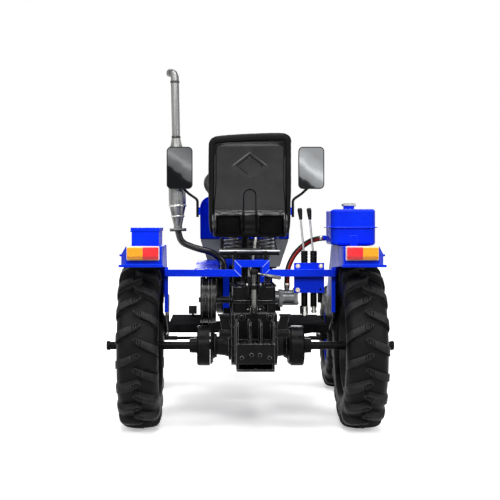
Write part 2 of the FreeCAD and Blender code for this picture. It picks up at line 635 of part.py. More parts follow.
def rounded_floor(x0, x1, y0, y1, z0, z1):
    """Floor plate with its two rear corners rounded."""
    return filleted(box(x0, x1, y0, y1, z0, z1), 14.0,
                    lambda e: along(Z_AXIS)(e) and e.BoundBox.YMax < y0 + 1)


def hitch_adjuster():
    """Screw link over the hitch: forked foot, rod, yoke nut with trunnions, screw, cap and crank."""
    y = CASE_REAR - 44
    pin_z = REAR_Z + 158 + 21
    top = REAR_Z + 354
    x = HITCH_X - 2
    foot = V(x, y, pin_z)
    pieces = [rod(foot - V(30, 0, 0), foot + V(30, 0, 0), 5.0)]
    for side in (-1, 1):
        cheek = [(y - 11, pin_z - 13), (y - 11, pin_z + 34), (y + 11, pin_z + 34), (y + 11, pin_z - 13)]
        pieces.append(side_plate(cheek, x + side * 16.5, x + side * 23))
    pieces.append(box(x - 23, x + 23, y - 11, y + 11, pin_z + 30, pin_z + 40))
    pieces.append(rod(V(x, y, pin_z + 38), V(x, y, pin_z + 106), 9.5))
    yoke = [V(x - 20, y - 15, pin_z + 92), V(x + 20, y - 15, pin_z + 92), V(x + 26, y - 15, pin_z + 106),
            V(x + 20, y - 15, pin_z + 140), V(x - 20, y - 15, pin_z + 140), V(x - 26, y - 15, pin_z + 106)]
    pieces.append(filleted(plate(yoke, V(0, 30, 0)), 5.0, along(Y_AXIS)))
    pieces.append(rod(V(x, y, pin_z + 138), V(x, y, top - 16), 11.0))
    pieces.append(cone(V(x, y, top - 18), V(x, y, top), 15.0, 12.0))
    grip = V(x + 124, y, top - 42)
    crank = V(x, y, top - 22)
    pieces.append(rod(crank, grip, 5.5))
    pieces.append(rod(crank + (grip - crank) * 0.45, grip, 7.5))
    for side in (-1, 1):
        arm = [(y - 16, pin_z + 100), (y - 16, pin_z + 132), (-120, pin_z + 118), (-120, pin_z + 60),
               (-136, pin_z + 60)]
        pieces.append(side_plate(arm, x + side * 26, x + side * 33))
    pieces.append(rod(V(x - 36, y, pin_z + 116), V(x + 36, y, pin_z + 116), 8.0))
    pieces.append(box(x - 33, x + 33, -128, -120, pin_z + 58, pin_z + 92))
    return joined(pieces)


# Belt drive

BELT_PITCH = 22.0
BELT_W = 17.0
BELT_H = 11.0
BELT_X = [(PULLEY_X0 + PULLEY_X1) / 2 + BELT_PITCH * i for i in (-1, 0, 1)]
BIG_R = 105.0
SMALL_R = 72.0


def pulley(y, radius, hub_end, hub_radius):
    """Three-groove pulley with lightening between rim and hub, and the shaft that carries it."""
    half = BELT_W / 2
    rim_line = [(PULLEY_X0, radius)]
    for x in BELT_X:
        rim_line += [(x - half, radius), (x - half + 4, radius - BELT_H - 2), (x + half - 4,
                                                                               radius - BELT_H - 2),
                     (x + half, radius)]
    rim_line.append((PULLEY_X1, radius))
    web = radius - BELT_H - 10
    inside = [(PULLEY_X1, web), (PULLEY_X1 - 26, web), (PULLEY_X1 - 26, hub_radius + 8), (PULLEY_X1,
                                                                                          hub_radius + 8),
              (PULLEY_X1, hub_radius), (hub_end, hub_radius), (hub_end, 0), (PULLEY_X0 - 8, 0),
              (PULLEY_X0 - 8, hub_radius - 4), (PULLEY_X0, hub_radius - 4), (PULLEY_X0 + 26, hub_radius + 8),
              (PULLEY_X0 + 26, web), (PULLEY_X0, web)]
    return turned(rim_line + inside, V(0, y, SHAFT_Z))


def belt_pulleys():
    """Clutch pulley on the gearbox and the flywheel with its pulley on the engine."""
    case_side = CASE_X - CASE_HALF - 4
    clutch = pulley(PULLEY_Y, BIG_R, case_side, 16.0)
    drive = pulley(CRANK_Y, SMALL_R, FLYWHEEL_X, 20.0)
    wheel = turned([(FLYWHEEL_X, 0), (FLYWHEEL_X, 138), (FLYWHEEL_X + 4, 142), (FLYWHEEL_X + 30, 142),
                    (FLYWHEEL_X + 34, 138), (FLYWHEEL_X + 34, 0)], V(0, CRANK_Y, SHAFT_Z))
    return Part.makeCompound([clutch, joined([drive, wheel])])


FLYWHEEL_X = -148.0
ENGINE_HALF = 105.0


def drive_belts():
    """Three V-belts on open runs between the pulleys."""
    belts = []
    far = CRANK_Y - PULLEY_Y
    lean = math.asin((BIG_R - SMALL_R) / far)
    for x in BELT_X:
        def at(y, radius, angle):
            return V(x, y + radius * math.sin(angle), SHAFT_Z + radius * math.cos(angle))
        big = BIG_R - BELT_H / 2
        small = SMALL_R - BELT_H / 2
        a, b = at(PULLEY_Y, big, lean), at(CRANK_Y, small, lean)
        c, d = at(CRANK_Y, small, math.pi - lean), at(PULLEY_Y, big, math.pi - lean)
        path = Part.Wire([Part.LineSegment(a, b).toShape(),
                          Part.Arc(b, at(CRANK_Y, small, math.pi / 2), c).toShape(),
                          Part.LineSegment(c, d).toShape(),
                          Part.Arc(d, at(PULLEY_Y, big, -math.pi / 2), a).toShape()])
        out = V(0, math.sin(lean), math.cos(lean))
        half = BELT_W / 2 - 0.1
        narrow = half - 4 * (BELT_H - 0.6) / (BELT_H + 2)
        section = [a + V(-half, 0, 0) + out * (BELT_H / 2 - 0.3), a + V(half, 0,
                                                                        0) + out * (BELT_H / 2 - 0.3),
                   a + V(narrow, 0, 0) - out * (BELT_H / 2 - 0.3), a + V(-narrow, 0,
                                                                         0) - out * (BELT_H / 2 - 0.3)]
        belts.append(path.makePipeShell([Part.makePolygon(section + [section[0]])], True, False))
    return Part.makeCompound(belts)


def belt_guard():
    """Folded cover over the belts: top plate, outer lip and a tab on the rear crossbar."""
    x0 = PULLEY_X0 - 26
    x1 = PULLEY_X1 + 12
    near = SHAFT_Z + 145
    rise = 15.0
    tab = BAR_Z + BAR_SIZE / 2
    top = [(BAR_Y + 30, near - 2), (BAR_Y + 30, near), (HOOP_Y + 4, near + rise), (HOOP_Y + 4,
                                                                                   near + rise - 2)]
    lip = [(BAR_Y + 30, near), (HOOP_Y + 4, near + rise), (HOOP_Y + 4, near + rise - 40), (BAR_Y + 60,
                                                                                           near - 40)]
    pieces = [side_plate(top, x0, x1), side_plate(lip, x0, x0 + 2)]
    pieces.append(side_plate([(BAR_Y + 31, near), (BAR_Y + 31, tab), (BAR_Y - 12, tab), (BAR_Y - 12, tab + 2),
                              (BAR_Y + 28, tab + 2), (BAR_Y + 28, near)], x0 + 44, x0 + 72))
    pieces.append(side_plate([(HOOP_Y - 18, near + rise - 1), (HOOP_Y - 18, near - 24), (HOOP_Y - 16,
                                                                                         near - 24),
                              (HOOP_Y - 16, near + rise - 1)], x1 - 4, -RAIL_OUT + 20))
    pieces.append(side_plate([(HOOP_Y - 18, near + rise - 3), (HOOP_Y - 18, near + rise - 1),
                              (HOOP_Y + 4, near + rise - 1), (HOOP_Y + 4, near + rise - 3)], x1 - 4, x1))
    return joined(pieces)


# Engine and cooling

def engine_block():
    """Horizontal engine: crankcase, ribbed cylinder, head, covers, hopper, filter and feet."""
    z = SHAFT_Z
    crankcase = box(-ENGINE_HALF, ENGINE_HALF, CRANK_Y - 112, CRANK_Y + 120, RAIL_TOP + 12, z + 130)
    crankcase = filleted(crankcase, 22.0, along(X_AXIS))
    pieces = [crankcase]
    pieces.append(box(-75, 75, CRANK_Y - 172, CRANK_Y - 100, z - 78, z + 78))
    for i in range(4):
        y = CRANK_Y - 166 + 14 * i
        pieces.append(box(-84, 84, y, y + 6, z - 86, z + 86))
    head = box(-86, 86, CRANK_Y - 212, CRANK_Y - 171, z - 84, z + 92)
    pieces.append(filleted(head, 10.0, along(Y_AXIS)))
    cover = box(-56, 62, CRANK_Y - 236, CRANK_Y - 211, z - 50, z + 66)
    pieces.append(filleted(cover, 14.0, along(Y_AXIS)))
    pieces.append(filleted(box(-92, 92, CRANK_Y - 96, CRANK_Y + 104, z + 129, z + 222), 18.0, along(Z_AXIS)))
    pieces.append(rod(V(ENGINE_HALF - 1, CRANK_Y, z), V(ENGINE_HALF + 24, CRANK_Y, z), 78.0))
    pieces.append(rod(V(ENGINE_HALF - 1, CRANK_Y + 64, z + 72), V(ENGINE_HALF + 30, CRANK_Y + 64, z + 72),
                      30.0))
    filter_base = V(ENGINE_HALF + 26, CRANK_Y - 150, z + 110)
    pieces.append(rod(filter_base, filter_base + V(0, 0, 130), 46.0))
    pieces.append(rod(filter_base + V(0, 0, 128), filter_base + V(0, 0, 150), 30.0))
    pieces.append(bent_bar([V(60, CRANK_Y - 192, z + 40), V(filter_base.x, CRANK_Y - 192, z + 40),
                            V(filter_base.x, CRANK_Y - 160, z + 114)], 16.0, 30.0))
    pieces.append(rod(V(-ENGINE_HALF + 1, CRANK_Y, z), V(FLYWHEEL_X + 34, CRANK_Y, z), 44.0))
    for side in (-1, 1):
        for y in (CRANK_Y - 84, CRANK_Y + 60):
            x0, x1 = sorted((side * (RAIL_OUT - RAIL_W), side * RAIL_OUT))
            pieces.append(box(x0, x1, y, y + 40, RAIL_TOP, RAIL_TOP + 16))
    pieces.append(box(PORT.x - 19, -85, PORT.y, PORT.y + 36, PORT.z - 20, PORT.z + 20))
    return joined(pieces)


def radiator():
    """Radiator with side channels, header tank, filler neck and the brackets that stand on the rails."""
    y = WHEELBASE + 170
    core = box(-140, 140, y, y + 42, RAIL_TOP + 34, RAIL_TOP + 300)
    tank = filleted(box(-150, 150, y - 6, y + 48, RAIL_TOP + 298, RAIL_TOP + 345), 12.0, along(X_AXIS))
    low = box(-150, 150, y - 6, y + 48, RAIL_TOP + 14, RAIL_TOP + 40)
    cap = Part.makeCylinder(24.0, 22.0, V(40, y + 21, RAIL_TOP + 344))
    sides = [box(x, x + 10, y - 6, y + 48, RAIL_TOP + 30, RAIL_TOP + 310) for x in (-150, 140)]
    feet = [box(*sorted((side * (RAIL_OUT - RAIL_W), side * RAIL_OUT)), y, y + 42, RAIL_TOP, RAIL_TOP + 16)
            for side in (-1, 1)]
    hose = rod(V(60, CRANK_Y + 104, SHAFT_Z + 200), V(60, y - 5, SHAFT_Z + 200), 17.0)
    return joined([core, tank, low, cap, hose] + sides + feet)


STACK = V(-350.5, HOOP_Y - 80.0, REAR_Z + 523.0)
PORT = V(-137.0, CRANK_Y - 210.0, SHAFT_Z + 82.0)
STACK_LEAN = 1.2               # degrees outward
PIPE_R = 17.0


def exhaust_pipe():
    """Bent pipe from the head's left port, back under the dash and out to the foot of the muffler."""
    y = STACK.y
    start = PORT - V(0, 5, 0)
    route = [start, V(PORT.x, HOOP_Y - 12, PORT.z), V(-112, y, PORT.z + 18), V(-112, y, PORT.z + 75),
             V(-172, y, REAR_Z + 402), V(-262, y, REAR_Z + 424), V(-336, y, REAR_Z + 456), STACK - V(0, 0, 8)]
    bar = bent_bar(route, PIPE_R, None, PIPE_R - 2.0)
    flange = pipe(STACK - V(0, 0, 12), STACK - V(0, 0, 4), 44.0, PIPE_R - 2.0)
    flange.rotate(STACK, Y_AXIS, -STACK_LEAN)
    plate_x = (PORT.x - 19, PORT.x + 24)
    port_plate = box(*plate_x, PORT.y - 6, PORT.y, PORT.z - 22, PORT.z + 22)
    port_plate = port_plate.cut(rod(start, PORT + V(0, 1, 0), PIPE_R - 2.0))
    return joined([bar, flange, port_plate])


def muffler():
    """Flange, canister between two cones, stack and turned tip, leaning outward a little."""
    profile = [(-3.9, 15), (-3.9, 44), (4, 44), (4, 22), (18, 22), (60, 31), (64, 34), (70, 34), (70, 32),
               (118, 43), (118, 46), (126, 46), (126, 44), (150, 45), (402, 45), (420, 38), (434, 33),
               (434, 31), (474, 22.5), (474, 22), (486, 22), (486, 21.5), (764, 21.5), (764, 23), (774, 23),
               (774, 21.5), (784, 21.5), (784, 19), (470, 19), (430, 30), (404, 42), (140, 42), (64, 29),
               (16, 19),
               (4, 15)]
    body = turned(profile, STACK, Z_AXIS)
    top = STACK + V(0, 0, 780)
    tip = bent_bar([top, top + V(0, 0, 34), top + V(-26, 40, 42)], 21.5, 30.0, 19.0)
    stack = joined([body, tip])
    stack.rotate(STACK, Y_AXIS, -STACK_LEAN)
    return stack


# Hydraulics

PUMP_Z = SHAFT_Z + 11.0
PUMP_Y = 100.0
PUMP_X = CASE_X + CASE_HALF + 2.0
PUMP_END = 220.0
HOSE_R = 12.5


def hydraulic_pump():
    """Gear pump: drive neck, square flange, round body, end cover and its suction stub."""
    y, z = PUMP_Y, PUMP_Z
    neck = rod(V(PUMP_X, y, z), V(PUMP_X + 21, y, z), 31.0)
    flange = filleted(box(PUMP_X + 20, PUMP_X + 36, y - 42, y + 42, z - 42, z + 36), 10.0, along(X_AXIS))
    body = rod(V(PUMP_X + 35, y, z), V(PUMP_END - 16, y, z), PUMP_R)
    cover = filleted(box(PUMP_END - 18, PUMP_END, y - 34, y + 34, z - 34, z + 34), 12.0, along(X_AXIS))
    foot = V(PUMP_INLET.x, PUMP_INLET.y, z + 20)
    stub = rod(foot, PUMP_INLET, HOSE_R - 2.5)
    collar = rod(PUMP_INLET - V(0, 0, 12), PUMP_INLET, HOSE_R)
    return joined([neck, flange, body, cover, stub, collar])


PUMP_R = 36.0
PUMP_INLET = V(PUMP_END - 48.0, PUMP_Y, PUMP_Z + 52.0)
VALVE_Y = BAR_Y + BAR_SIZE / 2 + 5.0
VALVE_X = [251.0, 293.0]
VALVE_TOP = BAR_Z + 38.0


def control_valve():
    """Two-spool valve block with its lever boots, spool caps and relief cap."""
    y = VALVE_Y + 30
    pieces = [filleted(box(208, 334, VALVE_Y, VALVE_Y + 60, VALVE_TOP - 112, VALVE_TOP), 5.0, along(Z_AXIS))]
    for x in VALVE_X:
        profile = [(0, 0), (-1, 17)]
        for i in range(4):
            profile += [(4 + 14 * i, 17), (10 + 14 * i, 15), (14 + 14 * i, 15)]
        profile += [(60, 16), (62, 12), (62, 0)]
        pieces.append(turned(profile, V(x, y, VALVE_TOP), Z_AXIS))
        pieces.append(rod(V(x, y, VALVE_TOP - 111), V(x, y, VALVE_TOP - 196), 15.0))
    pieces.append(rod(V(322, y, VALVE_TOP - 111), V(322, y, VALVE_TOP - 176), 10.5))
    pieces.append(rod(V(322, y, VALVE_TOP - 120), V(322, y, VALVE_TOP - 134), 13.0))
    front = VALVE_Y + 60
    port = V(PUMP_END - 30, PUMP_Y + PUMP_R, PUMP_Z)
    pieces.append(bent_bar([V(226, front - 1, VALVE_TOP - 94), V(226, front + 44, VALVE_TOP - 94),
                            port + V(0, 44, 0), port], 7.0))
    return joined(pieces)


def hand_levers():
    """Two valve levers with tapered knobs, and the gear lever that leans forward past the seat."""
    levers = []
    y = VALVE_Y + 30
    for x in VALVE_X:
        foot = V(x - 3, y, VALVE_TOP + 62.6)
        head = foot + V(-14, 0, 148)
        heading = unit(head - foot)
        stick = rod(foot, head, 4.5)
        knob = cone(head - heading * 6, head + heading * 40, 7.0, 11.0)
        ball = cone(head + heading * 40, head + heading * 46, 11.0, 8.0)
        levers.append(joined([stick, knob, ball]))
    foot = V(LEVER_FOOT.x, LEVER_FOOT.y, CASE_TOP + TOP_CASE_H + 34)
    bend = V(34, 440, REAR_Z + 405)
    head = V(60, 560, REAR_Z + 610)
    stick = bent_bar([foot, foot + V(0, 0, 22), bend, head], 6.0)
    heading = unit(head - bend)
    knob = cone(head - heading * 4, head + heading * 44, 12.0, 17.0)
    levers.append(joined([stick, knob]))
    return Part.makeCompound(levers)


TANK_PORT_Y = 86.0
TANK = [FENDER_IN - 38.0, FENDER_IN + 158.0, -150.0, 110.0, FENDER_Z, FENDER_Z + 162.0]


def hydraulic_tank():
    """Pressed tank of two halves with a seam flange, filler neck, outlet and feet."""
    x0, x1, y0, y1, z0, z1 = TANK
    body = filleted(box(x0, x1, y0, y1, z0 + 3, z1), 30.0, along(Z_AXIS))
    body = filleted(body, 12.0, lambda e: e.BoundBox.ZMin > z1 - 0.1 or e.BoundBox.ZMax < z0 + 3.1)
    middle = (z0 + z1) / 2
    seam = filleted(box(x0 - 10, x1 + 10, y0 - 10, y1 + 10, middle - 2, middle + 2), 38.0, along(Z_AXIS))
    neck = Part.makeCylinder(24.5, 14.0, V((x0 + x1) / 2 - 9, -40, z1 - 1))
    outlet = rod(V(x0 + 30, TANK_PORT_Y, z0 + 32), V(x0 - 14, TANK_PORT_Y, z0 + 32), HOSE_R - 2.5)
    bead = rod(V(x0 - 14, TANK_PORT_Y, z0 + 32), V(x0 - 2, TANK_PORT_Y, z0 + 32), HOSE_R)
    pieces = [body, seam, neck, outlet, bead]
    for y in (y0 - 3, y1):
        pieces.append(box((x0 + x1) / 2 - 16, (x0 + x1) / 2 + 16, y, y + 3, z0, z0 + 46))
    for y in (y0 + 40, y1 - 60):
        pieces.append(box(FENDER_IN + 6, x1 - 30, y, y + 24, z0, z0 + 5))
    return joined(pieces)


def tank_cap():
    """Knurled-edge filler cap on the tank's neck."""
    x = (TANK[0] + TANK[1]) / 2 - 9
    z = TANK[5] + 13
    return turned([(0, 0), (0, 30), (3, 32), (13, 32), (15, 29), (15, 0)], V(x, -40, z), Z_AXIS)


HOSE_Z = TANK[4] + 32.0
HOSE_ROUTE = [V(TANK[0] - 14.4, TANK_PORT_Y, HOSE_Z), V(TANK[0] - 32, TANK_PORT_Y, HOSE_Z),
              V(VALVE_X[1] - 19, 136, REAR_Z + 468), V(214, 136, REAR_Z + 418), V(180, 120, REAR_Z + 356),
              V(PUMP_INLET.x, PUMP_INLET.y, REAR_Z + 312), PUMP_INLET]


def suction_hose():
    """Oil hose that hangs from the tank's outlet to the pump."""
    return bent_bar(HOSE_ROUTE, HOSE_R)


# Fenders and what stands on them

def fender_skin(inset):
    """Solid under the fender's top line, with a bevelled outer side, inset on every side."""
    slope = unit(V(0, DECK_Z + 120 - FENDER_Z, -(FENDER_FRONT - FENDER_KNEE)))
    low = inset * 30
    n = inset

    def outline(x, k):
        return [V(x, FENDER_REAR + k, FENDER_Z - 85 - low), V(x, FENDER_REAR + k, FENDER_Z - k),
                V(x, FENDER_KNEE - 0.35 * k, FENDER_Z - k), V(x, FENDER_FRONT - 1.2 * k - low,
                                                              DECK_Z + 120 - low)]
    inner = FENDER_IN - FENDER_SKIN
    shoulder = FENDER_OUT - 30 - n * 0.6
    edge = FENDER_OUT - 8 - n
    flat = plate(outline(inner, n), V(shoulder - inner, 0, 0))
    wires = [Part.makePolygon(points + [points[0]]) for points in (outline(shoulder, n), outline(edge,
                                                                                                 n + 34))]
    return flat.fuse(Part.makeLoft(wires, True, True))


def fender():
    """Right fender: pressed top with a bevelled outer side, inner panel, lips and the lamp's face."""
    skin = fender_skin(0.0).cut(fender_skin(FENDER_SKIN))
    lip = 43.0
    tyre_room = [(FENDER_REAR + 34, FENDER_Z - lip), (FENDER_KNEE - 20, FENDER_Z - lip),
                 (FENDER_FRONT + 10, DECK_Z + 120 - lip - 34), (FENDER_FRONT + 10, REAR_Z), (FENDER_REAR + 34,
                                                                                             REAR_Z)]
    skin = skin.cut(side_plate(tyre_room, FENDER_IN + 1, FENDER_OUT + 10))
    inner = FENDER_IN - FENDER_SKIN
    behind = BAR_Y + BAR_SIZE / 2 + 2
    panel = [(FENDER_REAR, FENDER_Z - 85), (FENDER_REAR, FENDER_Z), (FENDER_KNEE, FENDER_Z),
             (FENDER_FRONT, DECK_Z + 120), (FENDER_FRONT, PANEL_LOW), (behind + 12, PANEL_LOW - 16),
             (behind, PANEL_LOW - 16), (behind, FENDER_Z - 150), (BAR_Y - 40, FENDER_Z - 96)]
    pieces = [skin, side_plate(panel, inner, FENDER_IN)]
    pieces.append(box(inner - 6, FENDER_OUT, FENDER_REAR - 8, FENDER_REAR + 3, FENDER_Z - 88, FENDER_Z - 77))
    pieces.append(box(inner - 14, inner + 1, behind, behind + 3, PANEL_LOW - 16, FENDER_Z - 100))
    slope = [(FENDER_KNEE, FENDER_Z - 34), (FENDER_KNEE, FENDER_Z - 43), (FENDER_REAR + 34, FENDER_Z - 43),
             (FENDER_REAR + 34, FENDER_Z - 34)]
    pieces.append(side_plate(slope, FENDER_OUT - 11, FENDER_OUT))
    return joined(pieces)


LAMP_X0 = FENDER_IN + 7.0
LAMP_X1 = LAMP_X0 + 139.0


def lamp_base():
    """White back plate of the right tail lamp."""
    return rounded_plate(70, FENDER_Z - 59, FENDER_Z + 2, 6.0, FENDER_REAR - 10, FENDER_REAR, LAMP_X0 + 70)


def lamp_lens(x0, x1):
    """Half of a tail lamp's lens, with its lower edge sloped."""
    low, high = FENDER_Z - 55, FENDER_Z - 2
    rear = FENDER_REAR - 32
    outline = [(FENDER_REAR - 10, low), (rear + 8, low), (rear, low + 14), (rear, high - 3), (rear + 3, high),
               (FENDER_REAR - 10, high)]
    return side_plate(outline, x0, x1)


TOOLBOX = [-FENDER_IN - 140.0, -FENDER_IN - 19.0, -100.0, 250.0, FENDER_Z, FENDER_Z + 78.0]
LID_SKIRT = 14.0
LID_GAP = 2.0


def toolbox():
    """Open sheet-metal box on the left fender."""
    x0, x1, y0, y1, z0, z1 = TOOLBOX
    return box(*TOOLBOX).cut(box(x0 + 2.5, x1 - 2.5, y0 + 2.5, y1 - 2.5, z0 + 2.5, z1 + 1))


def toolbox_lid():
    """Lid with a skirt all round and its hinge barrel along the outer edge."""
    x0, x1, y0, y1, z0, z1 = TOOLBOX
    out = LID_GAP + 2
    cover = box(x0 - out, x1 + out, y0 - out, y1 + out, z1 - LID_SKIRT, z1 + 2.3)
    hollow = box(x0 - LID_GAP, x1 + LID_GAP, y0 - LID_GAP, y1 + LID_GAP, z1 - LID_SKIRT - 1, z1 + 0.3)
    barrel = rod(V(x0 - out - 1, y0 + 20, z1 - LID_SKIRT), V(x0 - out - 1, y1 - 20, z1 - LID_SKIRT), 3.0)
    return joined([cover.cut(hollow), barrel])


def tube_frames():
    """Square-tube rear crossbar with its raised arch, seat posts and valve plate, and the dash hoop."""
    half = BAR_SIZE / 2
    end = FENDER_IN - FENDER_SKIN
    z = BAR_Z
    y0, y1 = BAR_Y - half, BAR_Y + half
    mid = CASE_X - 4
    outline = [V(-end, y0, z - half), V(mid - ARCH_HALF + BAR_SIZE, y0, z - half),
               V(mid - ARCH_HALF + BAR_SIZE, y0, z + ARCH_RISE - half),
               V(mid + ARCH_HALF - BAR_SIZE, y0, z + ARCH_RISE - half), V(mid + ARCH_HALF - BAR_SIZE, y0,
                                                                          z - half),
               V(end, y0, z - half), V(end, y0, z + half), V(mid + ARCH_HALF, y0, z + half),
               V(mid + ARCH_HALF, y0, z + ARCH_RISE + half), V(mid - ARCH_HALF, y0, z + ARCH_RISE + half),
               V(mid - ARCH_HALF, y0, z + half), V(-end, y0, z + half)]
    pieces = [plate(outline, V(0, BAR_SIZE, 0))]
    valve = box(201, 339, y1, y1 + 5, z - 91, z + 46)
    valve = valve.cut(rod(V(322, y1 - 1, z - 76), V(322, y1 + 6, z - 76), 5.5))
    pieces.append(valve)
    low, deep = REAR_Z + 332, HOOP_SIZE / 2
    hoop = [box(-RAIL_OUT, RAIL_OUT, HOOP_Y - deep, HOOP_Y + deep, low, low + HOOP_SIZE)]
    for side in (-1, 1):
        x0, x1 = sorted((side * (RAIL_OUT - HOOP_SIZE), side * RAIL_OUT))
        hoop.append(box(x0, x1, HOOP_Y - deep, HOOP_Y + deep, RAIL_TOP, low + 8))
    return Part.makeCompound([joined(pieces), joined(hoop)])


# Seat

SEAT_BASE_Z = REAR_Z + 424.0
SEAT_Y = 95.0
SEAT_ROUTE = [(450.0, REAR_Z + 546.0), (SEAT_Y, REAR_Z + 518.0), (SEAT_Y - 48, REAR_Z + 964.0)]
SEAT_HALF = 190.0
SHELL_HALF = 168.0
SPRING_X = 84.0
SPRING_Y = 190.0
UPPER_Z = SEAT_BASE_Z + 78.0


def seat_body(half, route, thickness, top, front, corner):
    """Bent seat layer trimmed to a rounded outline from behind and from above."""
    layer = bent_strip(route, 74.0, -half, half, thickness)
    behind = rounded_outline(half, REAR_Z, top, corner, lambda x, z: V(x, -200, z))
    above = rounded_outline(half, -300, front, corner + 12, lambda x, y: V(x, y, REAR_Z + 400))
    layer = layer.common(Part.Face(behind).extrude(V(0, 900, 0)))
    return layer.common(Part.Face(above).extrude(V(0, 0, 700)))


def seat_shell():
    """Pressed back-and-pan shell under the upholstery, with a raised rhombus and a channel in its back."""
    shell = seat_body(SHELL_HALF, SEAT_ROUTE, 4.0, SEAT_ROUTE[2][1] - 46, 425.0, 28.0)
    lean = V(0, SEAT_ROUTE[2][0] - SEAT_ROUTE[1][0], SEAT_ROUTE[2][1] - SEAT_ROUTE[1][1])
    up = unit(lean)
    out = V(0, -up.z, up.y)
    centre = V(0, SEAT_ROUTE[1][0], SEAT_ROUTE[1][1]) + up * 330 + out * 3.5
    rhombus = [centre + V(52, 0, 0), centre + up * 42, centre - V(52, 0, 0), centre - up * 42]
    small = [centre + V(38, 0, 0), centre + up * 30, centre - V(38, 0, 0), centre - up * 30]
    raised = plate(rhombus, out * 4).cut(plate(small, out * 5))
    y0, z0 = SEAT_ROUTE[1]
    fold = [(y0 - 13, z0 + 66), (y0 - 47, z0 + 28), (y0 - 59, z0 + 2), (y0 - 57, z0 - 28), (y0 - 49, z0 - 28),
            (y0 - 50, z0), (y0 - 40, z0 + 23), (y0 - 7.5, z0 + 56)]
    apron = filleted(side_plate(fold, -SHELL_HALF - 14, SHELL_HALF + 14), 3.0, along(X_AXIS))
    return joined([shell, raised, apron])


def seat_cushion():
    """One-piece upholstered cushion over the pan and the back."""
    return seat_body(SEAT_HALF, list(reversed(SEAT_ROUTE)), 46.0, SEAT_ROUTE[2][1], 446.0, 44.0)


def seat_frame():
    """Sprung seat carrier: lower bars, links, upper plate with its runners, and the pedestal."""
    z = SEAT_BASE_Z
    upper = UPPER_Z
    pieces = []
    for side in (-1, 1):
        x = side * 62
        x0, x1 = sorted((x, x + side * 14))
        pieces.append(box(x0, x1, 10, 400, z - 7, z + 1))
        pieces.append(box(x0, x1, BAR_Y - 6, BAR_Y + 6, BAR_Z + ARCH_RISE + BAR_SIZE / 2, z - 6))
        for offset, start, end in ((122, 60, 360), (130, 360, 60)):
            link = [(start - 7, z + 2), (start + 7, z + 2), (end + 7, upper - 8), (end - 7, upper - 8)]
            pieces.append(side_plate(link, side * offset, side * (offset + 5)))
        runner = [(110, upper + 3), (430, upper + 3), (430, REAR_Z + 540.1), (156, REAR_Z + 518.2)]
        pieces.append(side_plate(runner, side * 60, side * 66))
    pieces.append(rod(V(-138, 110, z - 12), V(138, 110, z - 12), 7.0))
    pieces.append(box(-128, 128, 150, 236, z - 1, z + 3))
    pieces.append(box(-140, 140, 50, 420, upper, upper + 4))
    pieces.append(box(-70, 70, 56, 64, upper - 10, upper + 1))
    pieces.append(box(-70, 70, 356, 364, upper - 10, upper + 1))
    pedestal_top = z - 6
    pedestal = [(92, CASE_TOP + TOP_CASE_H), (92, pedestal_top), (178, pedestal_top), (178,
                                                                                       CASE_TOP + TOP_CASE_H)]
    for x0, x1 in ((-76, -70), (70, 76)):
        pieces.append(side_plate(pedestal, x0, x1))
    pieces.append(box(-76, 76, 104, 116, z - 20, z - 6))
    return joined(pieces).cut(Part.makeCompound(carrier_rods(6.0 + FIT)))


def carrier_rods(radius):
    """Four cross rods on which the carrier's links turn."""
    heights = (SEAT_BASE_Z + 2, UPPER_Z - 8)
    return [rod(V(-138, y, z), V(138, y, z), radius) for y in (60, 360) for z in heights]


def seat_springs():
    """Two coil springs between the lower and the upper part of the seat carrier, and its cross rods."""
    wire = 3.6
    low = SEAT_BASE_Z + 3 + wire + 0.2
    height = UPPER_Z - low - wire - 0.2
    coils = []
    for side in (-1, 1):
        helix = Part.makeHelix(height / 4.0, height, 30.0)
        section = Part.Wire([Part.makeCircle(wire, V(30, 0, 0), Y_AXIS)])
        coil = Part.Wire(helix.Edges).makePipeShell([section], True, True)
        coils.append(coil.translated(V(side * SPRING_X, SPRING_Y, low)))
    return Part.makeCompound(coils + carrier_rods(6.0))


# Dash, mirrors, hood and nose

COWL_HALF = 235.0
COWL_TOP = REAR_Z + 694.0
COWL_Y = HOOP_Y - 150.0
FIREWALL_Y = HOOP_Y + HOOP_SIZE / 2
HOOD_Y = FIREWALL_Y + 14.0
HOOD_LOW = REAR_Z + 400.0
HOOD_HALF = 218.0
SHEET = 3.0
HINGE_R = 5.0
HINGE_LEAF = 30.0
HINGE = V(0, (FIREWALL_Y + 3 + HOOD_Y) / 2, COWL_TOP - 6 - SHEET - HINGE_R)


def cowl_block(inset, reach):
    """Solid of the dash cowl, inset by the sheet and lengthened at its open ends."""
    top = COWL_TOP - inset
    side = [(FIREWALL_Y + 3 + reach, top), (COWL_Y + 18 - reach, top), (COWL_Y - reach,
                                                                        COWL_TOP - 24 - inset),
            (HOOP_Y - reach, REAR_Z + 470 - reach), (FIREWALL_Y + 3 + reach, REAR_Z + 470 - reach)]
    block = side_plate(side, -COWL_HALF - 10, COWL_HALF + 10)
    outline = rounded_outline(COWL_HALF - inset, REAR_Z + 300, top, 62.0 - inset,
                              lambda x, z: V(x, COWL_Y - 60, z))
    return block.common(Part.Face(outline).extrude(V(0, 400, 0)))


